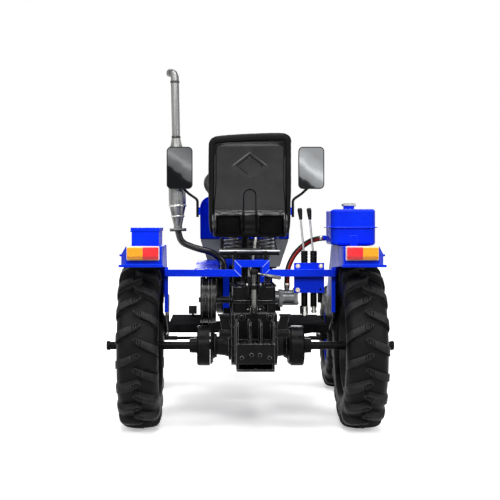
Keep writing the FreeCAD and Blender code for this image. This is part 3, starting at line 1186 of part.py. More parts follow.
def dash_cowl():
    """Blue cowl round the dash: a rounded tunnel whose rear edge slopes forward to the firewall."""
    cowl = cowl_block(0.0, 0.0).cut(cowl_block(SHEET, 20.0))
    clamps = [box(*sorted((side * (COWL_HALF - 1), side * (COWL_HALF + 6))), COWL_Y + 22, COWL_Y + 58,
                  REAR_Z + 596, REAR_Z + 636) for side in (-1, 1)]
    for side in (-1, 1):
        x0, x1 = sorted((side * (HINGE_LEAF / 2 + 0.5), side * (HINGE_LEAF * 1.5 - 0.5)))
        clamps.append(rod(V(x0, HINGE.y, HINGE.z), V(x1, HINGE.y, HINGE.z), HINGE_R))
        clamps.append(box(x0, x1, FIREWALL_Y - 9, HINGE.y, HINGE.z, HINGE.z + 3))
        clamps.append(box(x0, x1, FIREWALL_Y - 9, FIREWALL_Y, HINGE.z, COWL_TOP - SHEET + 0.5))
    return joined([cowl] + clamps)


def dash_panel():
    """Sloping instrument panel with its gauge pod, and the firewall under it."""
    half = COWL_HALF - SHEET
    slope = [(COWL_Y + 34, COWL_TOP - SHEET - 1), (COWL_Y + 22, COWL_TOP - 30), (HOOP_Y + 8, REAR_Z + 472),
             (FIREWALL_Y, REAR_Z + 472), (FIREWALL_Y, REAR_Z + 476), (HOOP_Y + 11, REAR_Z + 476),
             (COWL_Y + 26, COWL_TOP - 29), (COWL_Y + 38, COWL_TOP - SHEET - 1)]
    panel = side_plate(slope, -half, half)
    trim = rounded_outline(half, REAR_Z + 300, COWL_TOP - SHEET, 59.0, lambda x, z: V(x, COWL_Y - 60, z))
    panel = panel.common(Part.Face(trim).extrude(V(0, 400, 0)))
    run = unit(V(0, HOOP_Y + 8 - COWL_Y - 22, REAR_Z + 472 - COWL_TOP + 30))
    out = V(0, run.z, -run.y)
    centre = V(0, COWL_Y + 22, COWL_TOP - 30) + run * 105
    pod = filleted(Part.makeCylinder(58.0, 26.0, centre - out * 2, out), 5.0,
                   lambda e: e.Curve.TypeId == "Part::GeomCircle" and e.CenterOfMass.sub(centre).dot(out) > 20)
    pieces = [panel, pod]
    for x in (-110, 110):
        spot = centre + V(x, 0, 0)
        pieces.append(Part.makeCylinder(26.0, 14.0, spot - out * 2, out))
    axis = unit(WHEEL_CENTRE - STEER_BOX)
    hold = STEER_BOX + axis * 230
    pieces.append(box(-34, 34, hold.y + 33.9, COWL_Y + 136, hold.z - 20, hold.z - 14))
    return joined(pieces)


def firewall():
    """Flat wall between the driver and the engine, narrower at its foot."""
    half = COWL_HALF - SHEET
    wall = [V(-half, FIREWALL_Y, COWL_TOP - 70), V(-half, FIREWALL_Y, REAR_Z + 460),
            V(-half + 45, FIREWALL_Y, REAR_Z + 322), V(half - 45, FIREWALL_Y, REAR_Z + 322),
            V(half, FIREWALL_Y, REAR_Z + 460), V(half, FIREWALL_Y, COWL_TOP - 70)]
    return plate(wall, V(0, 3, 0))


MIRROR = V(340.0, COWL_Y, REAR_Z + 839.0)


def mirror_housing():
    """Right mirror's shell on its bent arm."""
    shell = rounded_plate(67, MIRROR.z - 109, MIRROR.z + 109, 24.0, MIRROR.y - 8, MIRROR.y + 14, MIRROR.x)
    shell = filleted(shell, 6.0, lambda e: e.BoundBox.YMin > MIRROR.y + 13.9)
    recess = rounded_plate(62.5, MIRROR.z - 104.5, MIRROR.z + 104.5, 20.0, MIRROR.y - 9, MIRROR.y - 4,
                           MIRROR.x)
    arm = bent_bar([V(COWL_HALF + 13, COWL_Y + 40, REAR_Z + 585), V(COWL_HALF + 13, COWL_Y + 40,
                                                                    REAR_Z + 676),
                    V(292, COWL_Y + 30, REAR_Z + 706), V(330, COWL_Y + 6, REAR_Z + 742)], 7.0, 26.0)
    return joined([shell.cut(recess), arm])


def mirror_glass():
    """Glass of the right mirror, facing the rear."""
    return rounded_plate(62.2, MIRROR.z - 104.2, MIRROR.z + 104.2, 19.7, MIRROR.y - 7, MIRROR.y - 4, MIRROR.x)


def hood_block(inset, reach):
    """Tapered solid of the hood, inset by the sheet and lengthened at its open sides."""
    wires = []
    for y, half, low, top, corner in (
            (HOOD_Y - reach, HOOD_HALF, HOOD_LOW, COWL_TOP - 6, 60.0),
            ((HOOD_Y + NOSE_Y) / 2, HOOD_HALF - 6, HOOD_LOW - 14, COWL_TOP - 30, 66.0),
            (NOSE_Y - 90, HOOD_HALF - 22, HOOD_LOW - 30, COWL_TOP - 92, 70.0)):
        wires.append(rounded_outline(half - inset, low - reach, top - inset, corner - inset,
                                     lambda x, z, y=y: V(x, y, z)))
    front = rounded_outline(HOOD_HALF - 40 - inset, HOOD_LOW - 36 - reach, COWL_TOP - 170 - inset,
                            62.0 - inset,
                            lambda x, z: V(x, NOSE_Y - 8 - inset, z))
    return Part.makeLoft(wires, True).fuse(Part.makeLoft([wires[-1], front], True, True)).removeSplitter()


def hood():
    """Sheet hood over the engine: crowned top, rounded shoulders and a sloping front, hinged at its rear."""
    shell = hood_block(0.0, 0.0).cut(hood_block(SHEET, 24.0))
    pieces = [shell.cut(box(-400, 400, HOOD_Y - 50, NOSE_Y + 50, REAR_Z, HOOD_LOW - 34))]
    for side in (-1, 0, 1):
        x0 = HINGE_LEAF * (2 * side - 0.5)
        pieces.append(rod(V(x0, HINGE.y, HINGE.z), V(x0 + HINGE_LEAF, HINGE.y, HINGE.z), HINGE_R))
        pieces.append(box(x0, x0 + HINGE_LEAF, HINGE.y, HOOD_Y + 22, HINGE.z + 2, HINGE.z + HINGE_R + 2.5))
    return joined(pieces)


NOSE_TOP = HOOD_LOW - 34.0 - GAP
NOSE_LOW = RAIL_TOP + 22.0
NOSE_HALF = HOOD_HALF - 40.0
LAMP_R = 46.0
LAMP_SPREAD = 118.0
LAMP_Z = NOSE_TOP - 70.0


def nose():
    """Fixed front cowl round the grille, with its lamp rings and the feet on the frame."""
    outer = filleted(box(-NOSE_HALF, NOSE_HALF, NOSE_Y - 190, NOSE_Y, NOSE_LOW, NOSE_TOP), 46.0,
                     lambda e: along(Z_AXIS)(e) and e.BoundBox.YMin > NOSE_Y - 1)
    inner = filleted(box(-NOSE_HALF + SHEET, NOSE_HALF - SHEET, NOSE_Y - 200, NOSE_Y - SHEET, NOSE_LOW - 1,
                         NOSE_TOP + 1), 43.0, lambda e: along(Z_AXIS)(e) and e.BoundBox.YMin > NOSE_Y - SHEET - 1)
    shell = outer.cut(inner)
    shell = shell.cut(rounded_plate(GRILLE_HALF, GRILLE_LOW, GRILLE_TOP, 18.0, NOSE_Y - 10, NOSE_Y + 10))
    rings = []
    for side in (-1, 1):
        spot = V(side * LAMP_SPREAD, NOSE_Y - SHEET, LAMP_Z)
        shell = shell.cut(rod(spot - V(0, 10, 0), spot + V(0, 20, 0), LAMP_R))
        rings.append(pipe(spot, spot + V(0, 12, 0), LAMP_R + 7, LAMP_R))
        x0, x1 = sorted((side * 60, side * 100))
        rings.append(side_plate([(FRONT_FACE - 52, RAIL_TOP + 20), (FRONT_FACE - 52, NOSE_LOW + 30),
                                 (NOSE_Y - SHEET, NOSE_LOW + 30), (NOSE_Y - SHEET, RAIL_TOP + 20)], x0, x1))
    return joined([shell] + rings)


GRILLE_HALF = 108.0
GRILLE_LOW = NOSE_LOW + 34.0
GRILLE_TOP = LAMP_Z - LAMP_R - 16.0


def front_grille():
    """Grille frame with level slats behind the nose's opening."""
    y = NOSE_Y - SHEET
    frame = rounded_plate(GRILLE_HALF + 14, GRILLE_LOW - 14, GRILLE_TOP + 14, 22.0, y - 5, y)
    frame = frame.cut(rounded_plate(GRILLE_HALF, GRILLE_LOW, GRILLE_TOP, 18.0, y - 6, y + 1))
    count = 7
    step = (GRILLE_TOP - GRILLE_LOW) / count
    slats = []
    for i in range(1, count):
        z = GRILLE_LOW + step * i
        slats.append(side_plate([(y - 16, z + 5), (y - 16, z + 8), (y - 1, z - 1), (y - 1, z - 4)],
                                -GRILLE_HALF - 3, GRILLE_HALF + 3))
    posts = [box(x - 3, x + 3, y - 18, y - 5, GRILLE_LOW - 6, GRILLE_TOP + 6) for x in (-GRILLE_HALF, 0,
                                                                                        GRILLE_HALF)]
    return joined([frame] + slats + posts)


def headlamp():
    """Round headlamp with a domed lens and its bowl."""
    centre = V(LAMP_SPREAD, NOSE_Y - SHEET, LAMP_Z)
    radius = LAMP_R - 0.3
    return turned([(-46, 0), (-46, 16), (-30, 32), (-6, radius - 4), (-6, radius), (6, radius), (11,
                                                                                                 radius - 14),
                   (14, radius - 30), (14.5, 0)], centre, Y_AXIS)


def front_bumper():
    """Channel bumper on the rails with its tow jaw."""
    y0 = FRONT_FACE - 52
    pieces = [box(-240, 240, FRONT_FACE - 8, FRONT_FACE, RAIL_BOTTOM + 2, RAIL_TOP - 2)]
    pieces.append(box(-240, 240, FRONT_FACE - 36, FRONT_FACE - 7, RAIL_TOP - 8, RAIL_TOP - 2))
    pieces.append(box(-240, 240, FRONT_FACE - 36, FRONT_FACE - 7, RAIL_BOTTOM + 2, RAIL_BOTTOM + 8))
    for side in (-1, 1):
        x0, x1 = sorted((side * 96, side * 104))
        pieces.append(box(x0, x1, y0, FRONT_FACE - 7, RAIL_BOTTOM + 2, RAIL_TOP - 2))
    for z in (RAIL_BOTTOM + 6, RAIL_TOP - 14):
        jaw = [V(-30, FRONT_FACE - 7, z), V(30, FRONT_FACE - 7, z), V(30, y0, z), V(-30, y0, z)]
        pieces.append(plate(jaw, V(0, 0, 8)))
    return joined(pieces)


def pedal(x, lean):
    """Foot pedal: ribbed pad on a bent arm that stands on the footboard."""
    y = HOOP_Y - 150
    z = DECK_Z + 36
    pad = box(x - 21, x + 21, y - 4, y + 4, z - 21, z + 21)
    ribs = [box(x - 19, x + 19, y - 7, y - 3, z - 19 + 10 * i, z - 15 + 10 * i) for i in range(4)]
    pad = joined([pad] + ribs)
    pad.rotate(V(x, y, z), X_AXIS, lean)
    arm = bent_bar([V(x, y + 2, z), V(x, y + 46, z + 6), V(x, y + 70, DECK_Z + 4)], 6.0, 16.0)
    foot = box(x - 20, x + 20, y + 52, y + 88, DECK_Z, DECK_Z + 6)
    return joined([pad, arm, foot])


# Every sub-part under its own name

NODES = {
    "frame_rails": frame_rails(),
    "footboards": both(footboard()),
    "gearbox_case": gearbox_case(),
    "axle_housings": Part.makeCompound([axle_housing(-1), axle_housing(1)]),
    "hitch_box": hitch_box(),
    "hitch_adjuster": hitch_adjuster(),
    "belt_pulleys": belt_pulleys(),
    "drive_belts": drive_belts(),
    "belt_guard": belt_guard(),
    "engine_block": engine_block(),
    "radiator": radiator(),
    "exhaust_pipe": exhaust_pipe(),
    "muffler": muffler(),
    "hydraulic_pump": hydraulic_pump(),
    "control_valve": control_valve(),
    "hand_levers": hand_levers(),
    "hydraulic_tank": hydraulic_tank(),
    "tank_cap": tank_cap(),
    "suction_hose": suction_hose(),
    "fender_right": fender(),
    "fender_left": mirrored(fender()),
    "lamp_bases": both(lamp_base()),
    "lamp_lenses_red": both(lamp_lens(LAMP_X0 + 4, LAMP_X0 + 70)),
    "lamp_lenses_amber": both(lamp_lens(LAMP_X0 + 70.5, LAMP_X0 + 136)),
    "toolbox": toolbox(),
    "toolbox_lid": toolbox_lid(),
    "tube_frames": tube_frames(),
    "seat_frame": seat_frame(),
    "seat_springs": seat_springs(),
    "seat_shell": seat_shell(),
    "seat_cushion": seat_cushion(),
    "dash_cowl": dash_cowl(),
    "dash_panel": dash_panel(),
    "firewall": firewall(),
    "mirror_housings": both(mirror_housing()),
    "mirror_glasses": both(mirror_glass()),
    "hood": hood(),
    "nose": nose(),
    "front_grille": front_grille(),
    "headlamps": both(headlamp()),
    "front_bumper": front_bumper(),
    "pedals": Part.makeCompound([pedal(-272, -20), pedal(302, -20)]),
    "steering_column": steering_column(),
    "steering_wheel": steering_wheel(),
    "drop_arm": drop_arm(),
    "drag_link": drag_link(),
    "tie_rod": tie_rod(),
    "front_axle": front_axle(),
    "knuckle_left": knuckle(-1),
    "knuckle_right": knuckle(1),
}
for side, name in ((-1, "left"), (1, "right")):
    tyre_shape, wheel_shape, shaft_shape = rear_wheel_parts(side)
    NODES[f"rear_tyre_{name}"] = tyre_shape
    NODES[f"rear_wheel_{name}"] = wheel_shape
    NODES[f"rear_shaft_{name}"] = shaft_shape
    tyre_shape, wheel_shape = front_wheel_parts(side)
    NODES[f"front_tyre_{name}"] = tyre_shape
    NODES[f"front_wheel_{name}"] = wheel_shape

for name, shape in NODES.items():
    shape.translated(V(0, -CENTRE_Y, 0)).exportStep(f"parts/{name}.step")
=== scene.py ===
"""Looks of a compact belt-driven tractor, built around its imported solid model.

Lengths are in metres in the frame of the model: X to the driver's right, Y forward and Z up, with the origin
on the ground below the middle of the tractor.
"""
from __future__ import annotations

import json
import logging
import math
from dataclasses import dataclass, field
from enum import Enum
from typing import Callable, Iterable, Sequence

import bmesh
import bpy
from mathutils import Matrix, Vector
from mathutils.bvhtree import BVHTree

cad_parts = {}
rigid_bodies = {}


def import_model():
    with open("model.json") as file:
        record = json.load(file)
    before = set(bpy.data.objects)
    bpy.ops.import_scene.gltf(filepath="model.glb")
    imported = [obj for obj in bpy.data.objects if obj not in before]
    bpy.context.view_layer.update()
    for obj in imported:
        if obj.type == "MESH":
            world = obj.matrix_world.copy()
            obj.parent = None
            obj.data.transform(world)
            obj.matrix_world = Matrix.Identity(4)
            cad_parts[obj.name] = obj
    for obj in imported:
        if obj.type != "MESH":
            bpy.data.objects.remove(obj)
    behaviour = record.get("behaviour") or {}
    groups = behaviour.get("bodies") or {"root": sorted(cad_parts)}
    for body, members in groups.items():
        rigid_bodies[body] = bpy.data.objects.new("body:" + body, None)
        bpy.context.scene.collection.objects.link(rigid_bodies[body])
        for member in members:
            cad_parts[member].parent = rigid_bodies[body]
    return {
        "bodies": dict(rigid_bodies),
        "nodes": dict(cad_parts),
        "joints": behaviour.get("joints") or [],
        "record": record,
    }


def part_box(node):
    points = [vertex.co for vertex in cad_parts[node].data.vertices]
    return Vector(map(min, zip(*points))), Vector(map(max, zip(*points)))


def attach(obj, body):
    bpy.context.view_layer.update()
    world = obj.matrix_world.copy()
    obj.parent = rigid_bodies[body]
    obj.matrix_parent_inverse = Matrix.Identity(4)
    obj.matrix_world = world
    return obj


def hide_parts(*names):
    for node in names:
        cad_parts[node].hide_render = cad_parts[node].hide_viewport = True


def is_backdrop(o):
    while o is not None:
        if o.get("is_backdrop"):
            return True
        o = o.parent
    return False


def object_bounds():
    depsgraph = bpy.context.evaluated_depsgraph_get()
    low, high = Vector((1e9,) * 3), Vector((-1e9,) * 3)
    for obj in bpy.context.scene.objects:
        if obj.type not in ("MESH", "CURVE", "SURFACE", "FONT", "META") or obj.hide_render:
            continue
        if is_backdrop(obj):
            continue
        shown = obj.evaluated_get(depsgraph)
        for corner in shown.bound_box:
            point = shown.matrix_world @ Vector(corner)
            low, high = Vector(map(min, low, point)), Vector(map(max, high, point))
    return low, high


LOG = logging.getLogger("tractor")
MM = 0.001
REAR_AXLE_Y = -0.675           # place of the rear axle along Y
REAR_AXLE_Z = 0.370
Setting = float | int | bool | str | Sequence[float]


def linear(hex_colour: str) -> tuple[float, float, float, float]:
    """Turn an sRGB hex value into a linear colour.

    Args:
        hex_colour: Six hex digits.

    Returns:
        Red, green, blue and an alpha of one.
    """
    channels = [int(hex_colour[i:i + 2], 16) / 255 for i in (0, 2, 4)]
    red, green, blue = (c / 12.92 if c <= 0.04045 else ((c + 0.055) / 1.055) ** 2.4 for c in channels)
    return red, green, blue, 1.0


def add_node(tree: bpy.types.NodeTree, kind: str, settings: dict[str | int, Setting] | None = None,
             links: dict[str | int, bpy.types.NodeSocket] | None = None) -> bpy.types.Node:
    """Add one shader node.

    Args:
        tree: Node tree that takes the node.
        kind: Type of the node.
        settings: Values by input name, input number or property name.
        links: Sockets that feed the inputs, by input name or number.

    Returns:
        The new node.
    """
    node = tree.nodes.new(kind)
    properties = {k: v for k, v in (settings or {}).items() if isinstance(k, str) and hasattr(node, k)}
    for key, value in properties.items():
        setattr(node, key, value)
    for key, value in (settings or {}).items():
        if key not in properties:
            node.inputs[key].default_value = value
    for key, socket in (links or {}).items():
        tree.links.new(socket, node.inputs[key])
    return node


def at(x: float, y: float, z: float) -> Vector:
    """Give a place in the frame.

    Args:
        x: Millimetres to the right of the middle.
        y: Millimetres ahead of the rear axle.
        z: Millimetres above the ground.

    Returns:
        The place in metres.
    """
    return Vector((x * MM, y * MM + REAR_AXLE_Y, z * MM))


def smooth(value: float) -> float:
    """Ease a share from 0 to 1 in and out."""
    value = min(1.0, max(0.0, value))
    return value * value * (3 - 2 * value)


def spline_points(route: Sequence[Vector], resolution: int = 10) -> list[Vector]:
    """Read a smooth line from a NURBS spline.

    Args:
        route: Control points of the spline.
        resolution: Steps for each control point.

    Returns:
        Points along the spline, from end to end.
    """
    data = bpy.data.curves.new("route", "CURVE")
    data.dimensions = "3D"
    spline = data.splines.new("NURBS")
    spline.points.add(len(route) - 1)
    for point, place in zip(spline.points, route):
        point.co = (*place, 1.0)
    spline.order_u = 3
    spline.use_endpoint_u = True
    spline.resolution_u = resolution
    guide = bpy.data.objects.new("route", data)
    mesh = bpy.data.meshes.new_from_object(guide)
    points = [v.co.copy() for v in mesh.vertices]
    bpy.data.objects.remove(guide)
    bpy.data.meshes.remove(mesh)
    return points


def tube(mesh: bmesh.types.BMesh, points: Sequence[Vector], radii: Sequence[tuple[float, float]],
         first_up: Vector, sides: int = 24, line_sides: Sequence[int] = (), finish: int = 0) -> None:
    """Build a closed tube along a line.

    Args:
        mesh: Bmesh that takes the tube.
        points: Middle of the tube from end to end.
        radii: Radius along the up direction and across it, at each point.
        first_up: Up direction at the first point, which is carried along.
        sides: Number of faces round the tube.
        line_sides: Sides that take the second material.
        finish: Material index of the others.
    """
    before = set(mesh.faces)
    up, cap, ring = first_up, None, []
    for i, (point, (tall, wide)) in enumerate(zip(points, radii)):
        heading = (points[min(i + 1, len(points) - 1)] - points[max(i - 1, 0)]).normalized()
        up = (up - heading * up.dot(heading)).normalized()
        turn = Matrix((up, heading.cross(up), heading)).transposed().to_4x4()
        place = Matrix.Translation(point) @ turn @ Matrix.Diagonal((tall, wide, 1.0, 1.0))
        if cap is None:
            ring = bmesh.ops.create_circle(mesh, cap_ends=True, segments=sides, radius=1.0, matrix=place)["verts"]
            cap = ring[0].link_faces[0]
            shape = [place.inverted() @ vert.co for vert in ring]
            continue
        grown = bmesh.ops.extrude_face_region(mesh, geom=[cap])["geom"]
        cap = next(part for part in grown if isinstance(part, bmesh.types.BMFace))
        above = [next(vert for edge in foot.link_edges for vert in [edge.other_vert(foot)] if vert in cap.verts)
                 for foot in ring]
        for k, vert in enumerate(above):
            vert.co = place @ shape[k]
            if k in line_sides:
                side = next(f for f in vert.link_faces if ring[k] in f.verts and ring[(k + 1) % sides] in f.verts)
                side.tag = True
        ring = above
    for face in (f for f in mesh.faces if f not in before):
        face.material_index = 1 if face.tag else finish
        face.tag = False


class Surfaces:
    """Finds places on the skins of the solid model."""

    def __init__(self, nodes: dict[str, bpy.types.Object]) -> None:
        """Keep the model's objects."""
        self.nodes = nodes
        self.trees: dict[str, BVHTree] = {}

    def land(self, node: str, spot: Vector, heading: Vector) -> Vector:
        """Drop a place onto a node against a heading.

        Args:
            node: Name of the node.
            spot: Place near the skin.
            heading: Outward direction.

        Returns:
            The outermost place on the skin, or the place itself where the node has none there.
        """
        if node not in self.trees:
            mesh = bmesh.new()
            mesh.from_mesh(self.nodes[node].data)
            self.trees[node] = BVHTree.FromBMesh(mesh)
            mesh.free()
        heading = heading.normalized()
        hit = self.trees[node].ray_cast(spot + heading * 0.25, -heading, 0.5)[0]
        return hit if hit is not None else spot


class Grain(Enum):
    """Surface relief of a finish."""

    FINE = "sprayed or moulded"
    PEBBLE = "leather grain"
    STREAK = "drawn or brushed along Z"
    PRISM = "moulded prisms"
    TREAD = "rolled chequers"


@dataclass(frozen=True)
class Finish:
    """A material with two mottled tones and a fine relief."""

    name: str
    colour: str
    tone: str
    roughness: float
    metallic: float = 0.0
    mottle_mm: float = 60.0
    grain: Grain = Grain.FINE
    grain_mm: float = 2.0
    relief_mm: float = 0.05
    coat: float = 0.0
    level: float = 0.5             # specular level, where 0.5 is a plain dielectric
    spread: float = 0.08
    edge: str = ""                 # tone along edges: partly wear, partly painted highlight
    edge_mm: float = 1.6

    def make(self) -> bpy.types.Material:
        """Build the material.

        Returns:
            A material whose patterns lie in Object coordinates.
        """
        material = bpy.data.materials.new(self.name)
        material.use_nodes = True
        tree = material.node_tree
        shader = tree.nodes["Principled BSDF"]
        shader.inputs["Metallic"].default_value = self.metallic
        shader.inputs["Coat Weight"].default_value = self.coat
        shader.inputs["Coat Roughness"].default_value = 0.08
        shader.inputs["Specular IOR Level"].default_value = self.level
        place = add_node(tree, "ShaderNodeTexCoord").outputs["Object"]
        share = self.tint(tree, place)
        mix = add_node(tree, "ShaderNodeMix", {"data_type": "RGBA", 6: linear(self.colour), 7: linear(self.tone)},
                       {0: share})
        bump = add_node(tree, "ShaderNodeBump", {"Strength": 1.0, "Distance": self.relief_mm * MM},
                        {"Height": self.relief(tree, place)})
        tree.links.new(bump.outputs["Normal"], shader.inputs["Normal"])
        colour = mix.outputs[2]
        # Edges that the Bevel node finds take the edge tone: partly worn paint, partly painted highlight on edges
        # that catch the light.
        if self.edge:
            rounded = add_node(tree, "ShaderNodeBevel", {"samples": 6, "Radius": self.edge_mm * MM})
            tree.links.new(rounded.outputs["Normal"], bump.inputs["Normal"])
            flat = add_node(tree, "ShaderNodeNewGeometry")
            alike = add_node(tree, "ShaderNodeVectorMath", {"operation": "DOT_PRODUCT"},
                             {0: rounded.outputs["Normal"], 1: flat.outputs["Normal"]})
            edge_wear_and_highlight = add_node(tree, "ShaderNodeMapRange", {"From Min": 0.95, "From Max": 0.8},
                            {"Value": alike.outputs["Value"]})
            edge_wear_and_highlight_tone = add_node(tree, "ShaderNodeMix", {"data_type": "RGBA", 7: linear(self.edge)},
                              {0: edge_wear_and_highlight.outputs["Result"], 6: colour})
            colour = edge_wear_and_highlight_tone.outputs[2]
        tree.links.new(colour, shader.inputs["Base Color"])
        rough = add_node(tree, "ShaderNodeMapRange", {"To Min": max(0.02, self.roughness - self.spread),
                                                      "To Max": min(1.0, self.roughness + self.spread)},
                         {"Value": share})
        tree.links.new(rough.outputs["Result"], shader.inputs["Roughness"])
        return material

    def tint(self, tree: bpy.types.NodeTree, place: bpy.types.NodeSocket) -> bpy.types.NodeSocket:
        """Lay out where the second tone shows.

        Args:
            tree: Node tree of the material.
            place: Socket with the Object coordinates.

        Returns:
            Socket with the share of the second tone.
        """
        if self.grain is Grain.STREAK:
            place = add_node(tree, "ShaderNodeMapping", {"Scale": (1.0, 1.0, 0.03)},
                             {"Vector": place}).outputs["Vector"]
        mottle = add_node(tree, "ShaderNodeTexNoise", {"Scale": 1 / (self.mottle_mm * MM), "Detail": 2.0 if self.grain is Grain.STREAK else 5.0,
                                                       "Roughness": 0.6}, {"Vector": place})
        return add_node(tree, "ShaderNodeMapRange", {"From Min": 0.35, "From Max": 0.7},
                        {"Value": mottle.outputs["Fac"]}).outputs["Result"]

    def relief(self, tree: bpy.types.NodeTree, place: bpy.types.NodeSocket) -> bpy.types.NodeSocket:
        """Lay out the height pattern.

        Args:
            tree: Node tree of the material.
            place: Socket with the Object coordinates.

        Returns:
            Socket with the height, from 0 to 1.
        """
        scale = 1 / (self.grain_mm * MM)
        if self.grain is Grain.PEBBLE:
            cells = add_node(tree, "ShaderNodeTexVoronoi", {"feature": "DISTANCE_TO_EDGE", "Scale": scale},
                             {"Vector": place})
            soft = add_node(tree, "ShaderNodeMapRange", {"From Max": 0.25}, {"Value": cells.outputs["Distance"]})
            return soft.outputs["Result"]
        if self.grain is Grain.TREAD:
            turned = add_node(tree, "ShaderNodeMapping", {"Rotation": (0.0, 0.0, math.radians(45))},
                              {"Vector": place})
            cells = add_node(tree, "ShaderNodeTexVoronoi", {"feature": "F1", "distance": "MINKOWSKI",
                                                            "Exponent": 0.6, "Randomness": 0.0, "Scale": scale},
                             {"Vector": turned.outputs["Vector"]})
            raised = add_node(tree, "ShaderNodeMapRange", {"From Min": 0.42, "From Max": 0.3},
                              {"Value": cells.outputs["Distance"]})
            return raised.outputs["Result"]
        if self.grain is Grain.STREAK:
            drawn = add_node(tree, "ShaderNodeMapping", {"Scale": (1.0, 1.0, 0.02)}, {"Vector": place})
            place = drawn.outputs["Vector"]
        if self.grain is Grain.PRISM:
            cells = add_node(tree, "ShaderNodeTexVoronoi", {"feature": "F1", "distance": "CHEBYCHEV",
                                                            "Randomness": 0.0, "Scale": scale}, {"Vector": place})
            return cells.outputs["Distance"]
        noise = add_node(tree, "ShaderNodeTexNoise", {"Scale": scale, "Detail": 3.0}, {"Vector": place})
        return noise.outputs["Fac"]


@dataclass(frozen=True)
class PaintedReflectionGlass(Finish):
    """Mirror glass with a painted reflection: bright in a slanting band and dark towards its foot."""

    foot: float = 1.152            # height at which the dull foot ends
    rise: float = 0.185

    def tint(self, tree: bpy.types.NodeTree, place: bpy.types.NodeSocket) -> bpy.types.NodeSocket:
        """Lay out the painted reflection's bright band and dark foot.

        Args:
            tree: Node tree of the material.
            place: Socket with the Object coordinates.

        Returns:
            Socket with the share of the bright tone.
        """
        split = add_node(tree, "ShaderNodeSeparateXYZ", {}, {"Vector": place})
        lean = add_node(tree, "ShaderNodeMath", {"operation": "MULTIPLY_ADD", 1: 0.7}, {0: split.outputs["X"],
                                                                                      2: split.outputs["Z"]})
        side = add_node(tree, "ShaderNodeMath", {"operation": "SIGN"}, {0: split.outputs["X"]})
        level = add_node(tree, "ShaderNodeMath", {"operation": "MULTIPLY_ADD", 1: -0.34 * 0.7 + 0.024},
                         {0: side.outputs[0], 2: lean.outputs[0]})
        haze = add_node(tree, "ShaderNodeTexNoise", {"Scale": 18.0, "Detail": 2.0}, {"Vector": place})
        wavy = add_node(tree, "ShaderNodeMath", {"operation": "MULTIPLY_ADD", 1: 0.05},
                        {0: haze.outputs["Fac"], 2: level.outputs[0]})
        height = add_node(tree, "ShaderNodeMapRange", {"From Min": self.foot, "From Max": self.foot + self.rise},
                          {"Value": wavy.outputs[0]})
        ramp = add_node(tree, "ShaderNodeValToRGB", {}, {"Fac": height.outputs["Result"]})
        stops = ((0.0, 0.02), (0.1, 0.04), (0.16, 0.3), (0.4, 0.45), (0.55, 0.9), (0.66, 0.6), (1.0, 0.4))
        for at_share, value in stops[1:-1]:
            ramp.color_ramp.elements.new(at_share)
        for element, (at_share, value) in zip(ramp.color_ramp.elements, stops):
            element.position = at_share
            element.color = (value, value, value, 1.0)
        # Painted reflection: the left glass is drawn at less than half the brightness of the right one.
        left_painted_shade = add_node(tree, "ShaderNodeMapRange", {"From Min": -0.1, "From Max": 0.1, "To Min": 0.42, "To Max": 1.0},
                       {"Value": split.outputs["X"]})
        share = add_node(tree, "ShaderNodeMath", {"operation": "MULTIPLY"},
                         {0: ramp.outputs["Color"], 1: left_painted_shade.outputs["Result"]})
        return share.outputs[0]


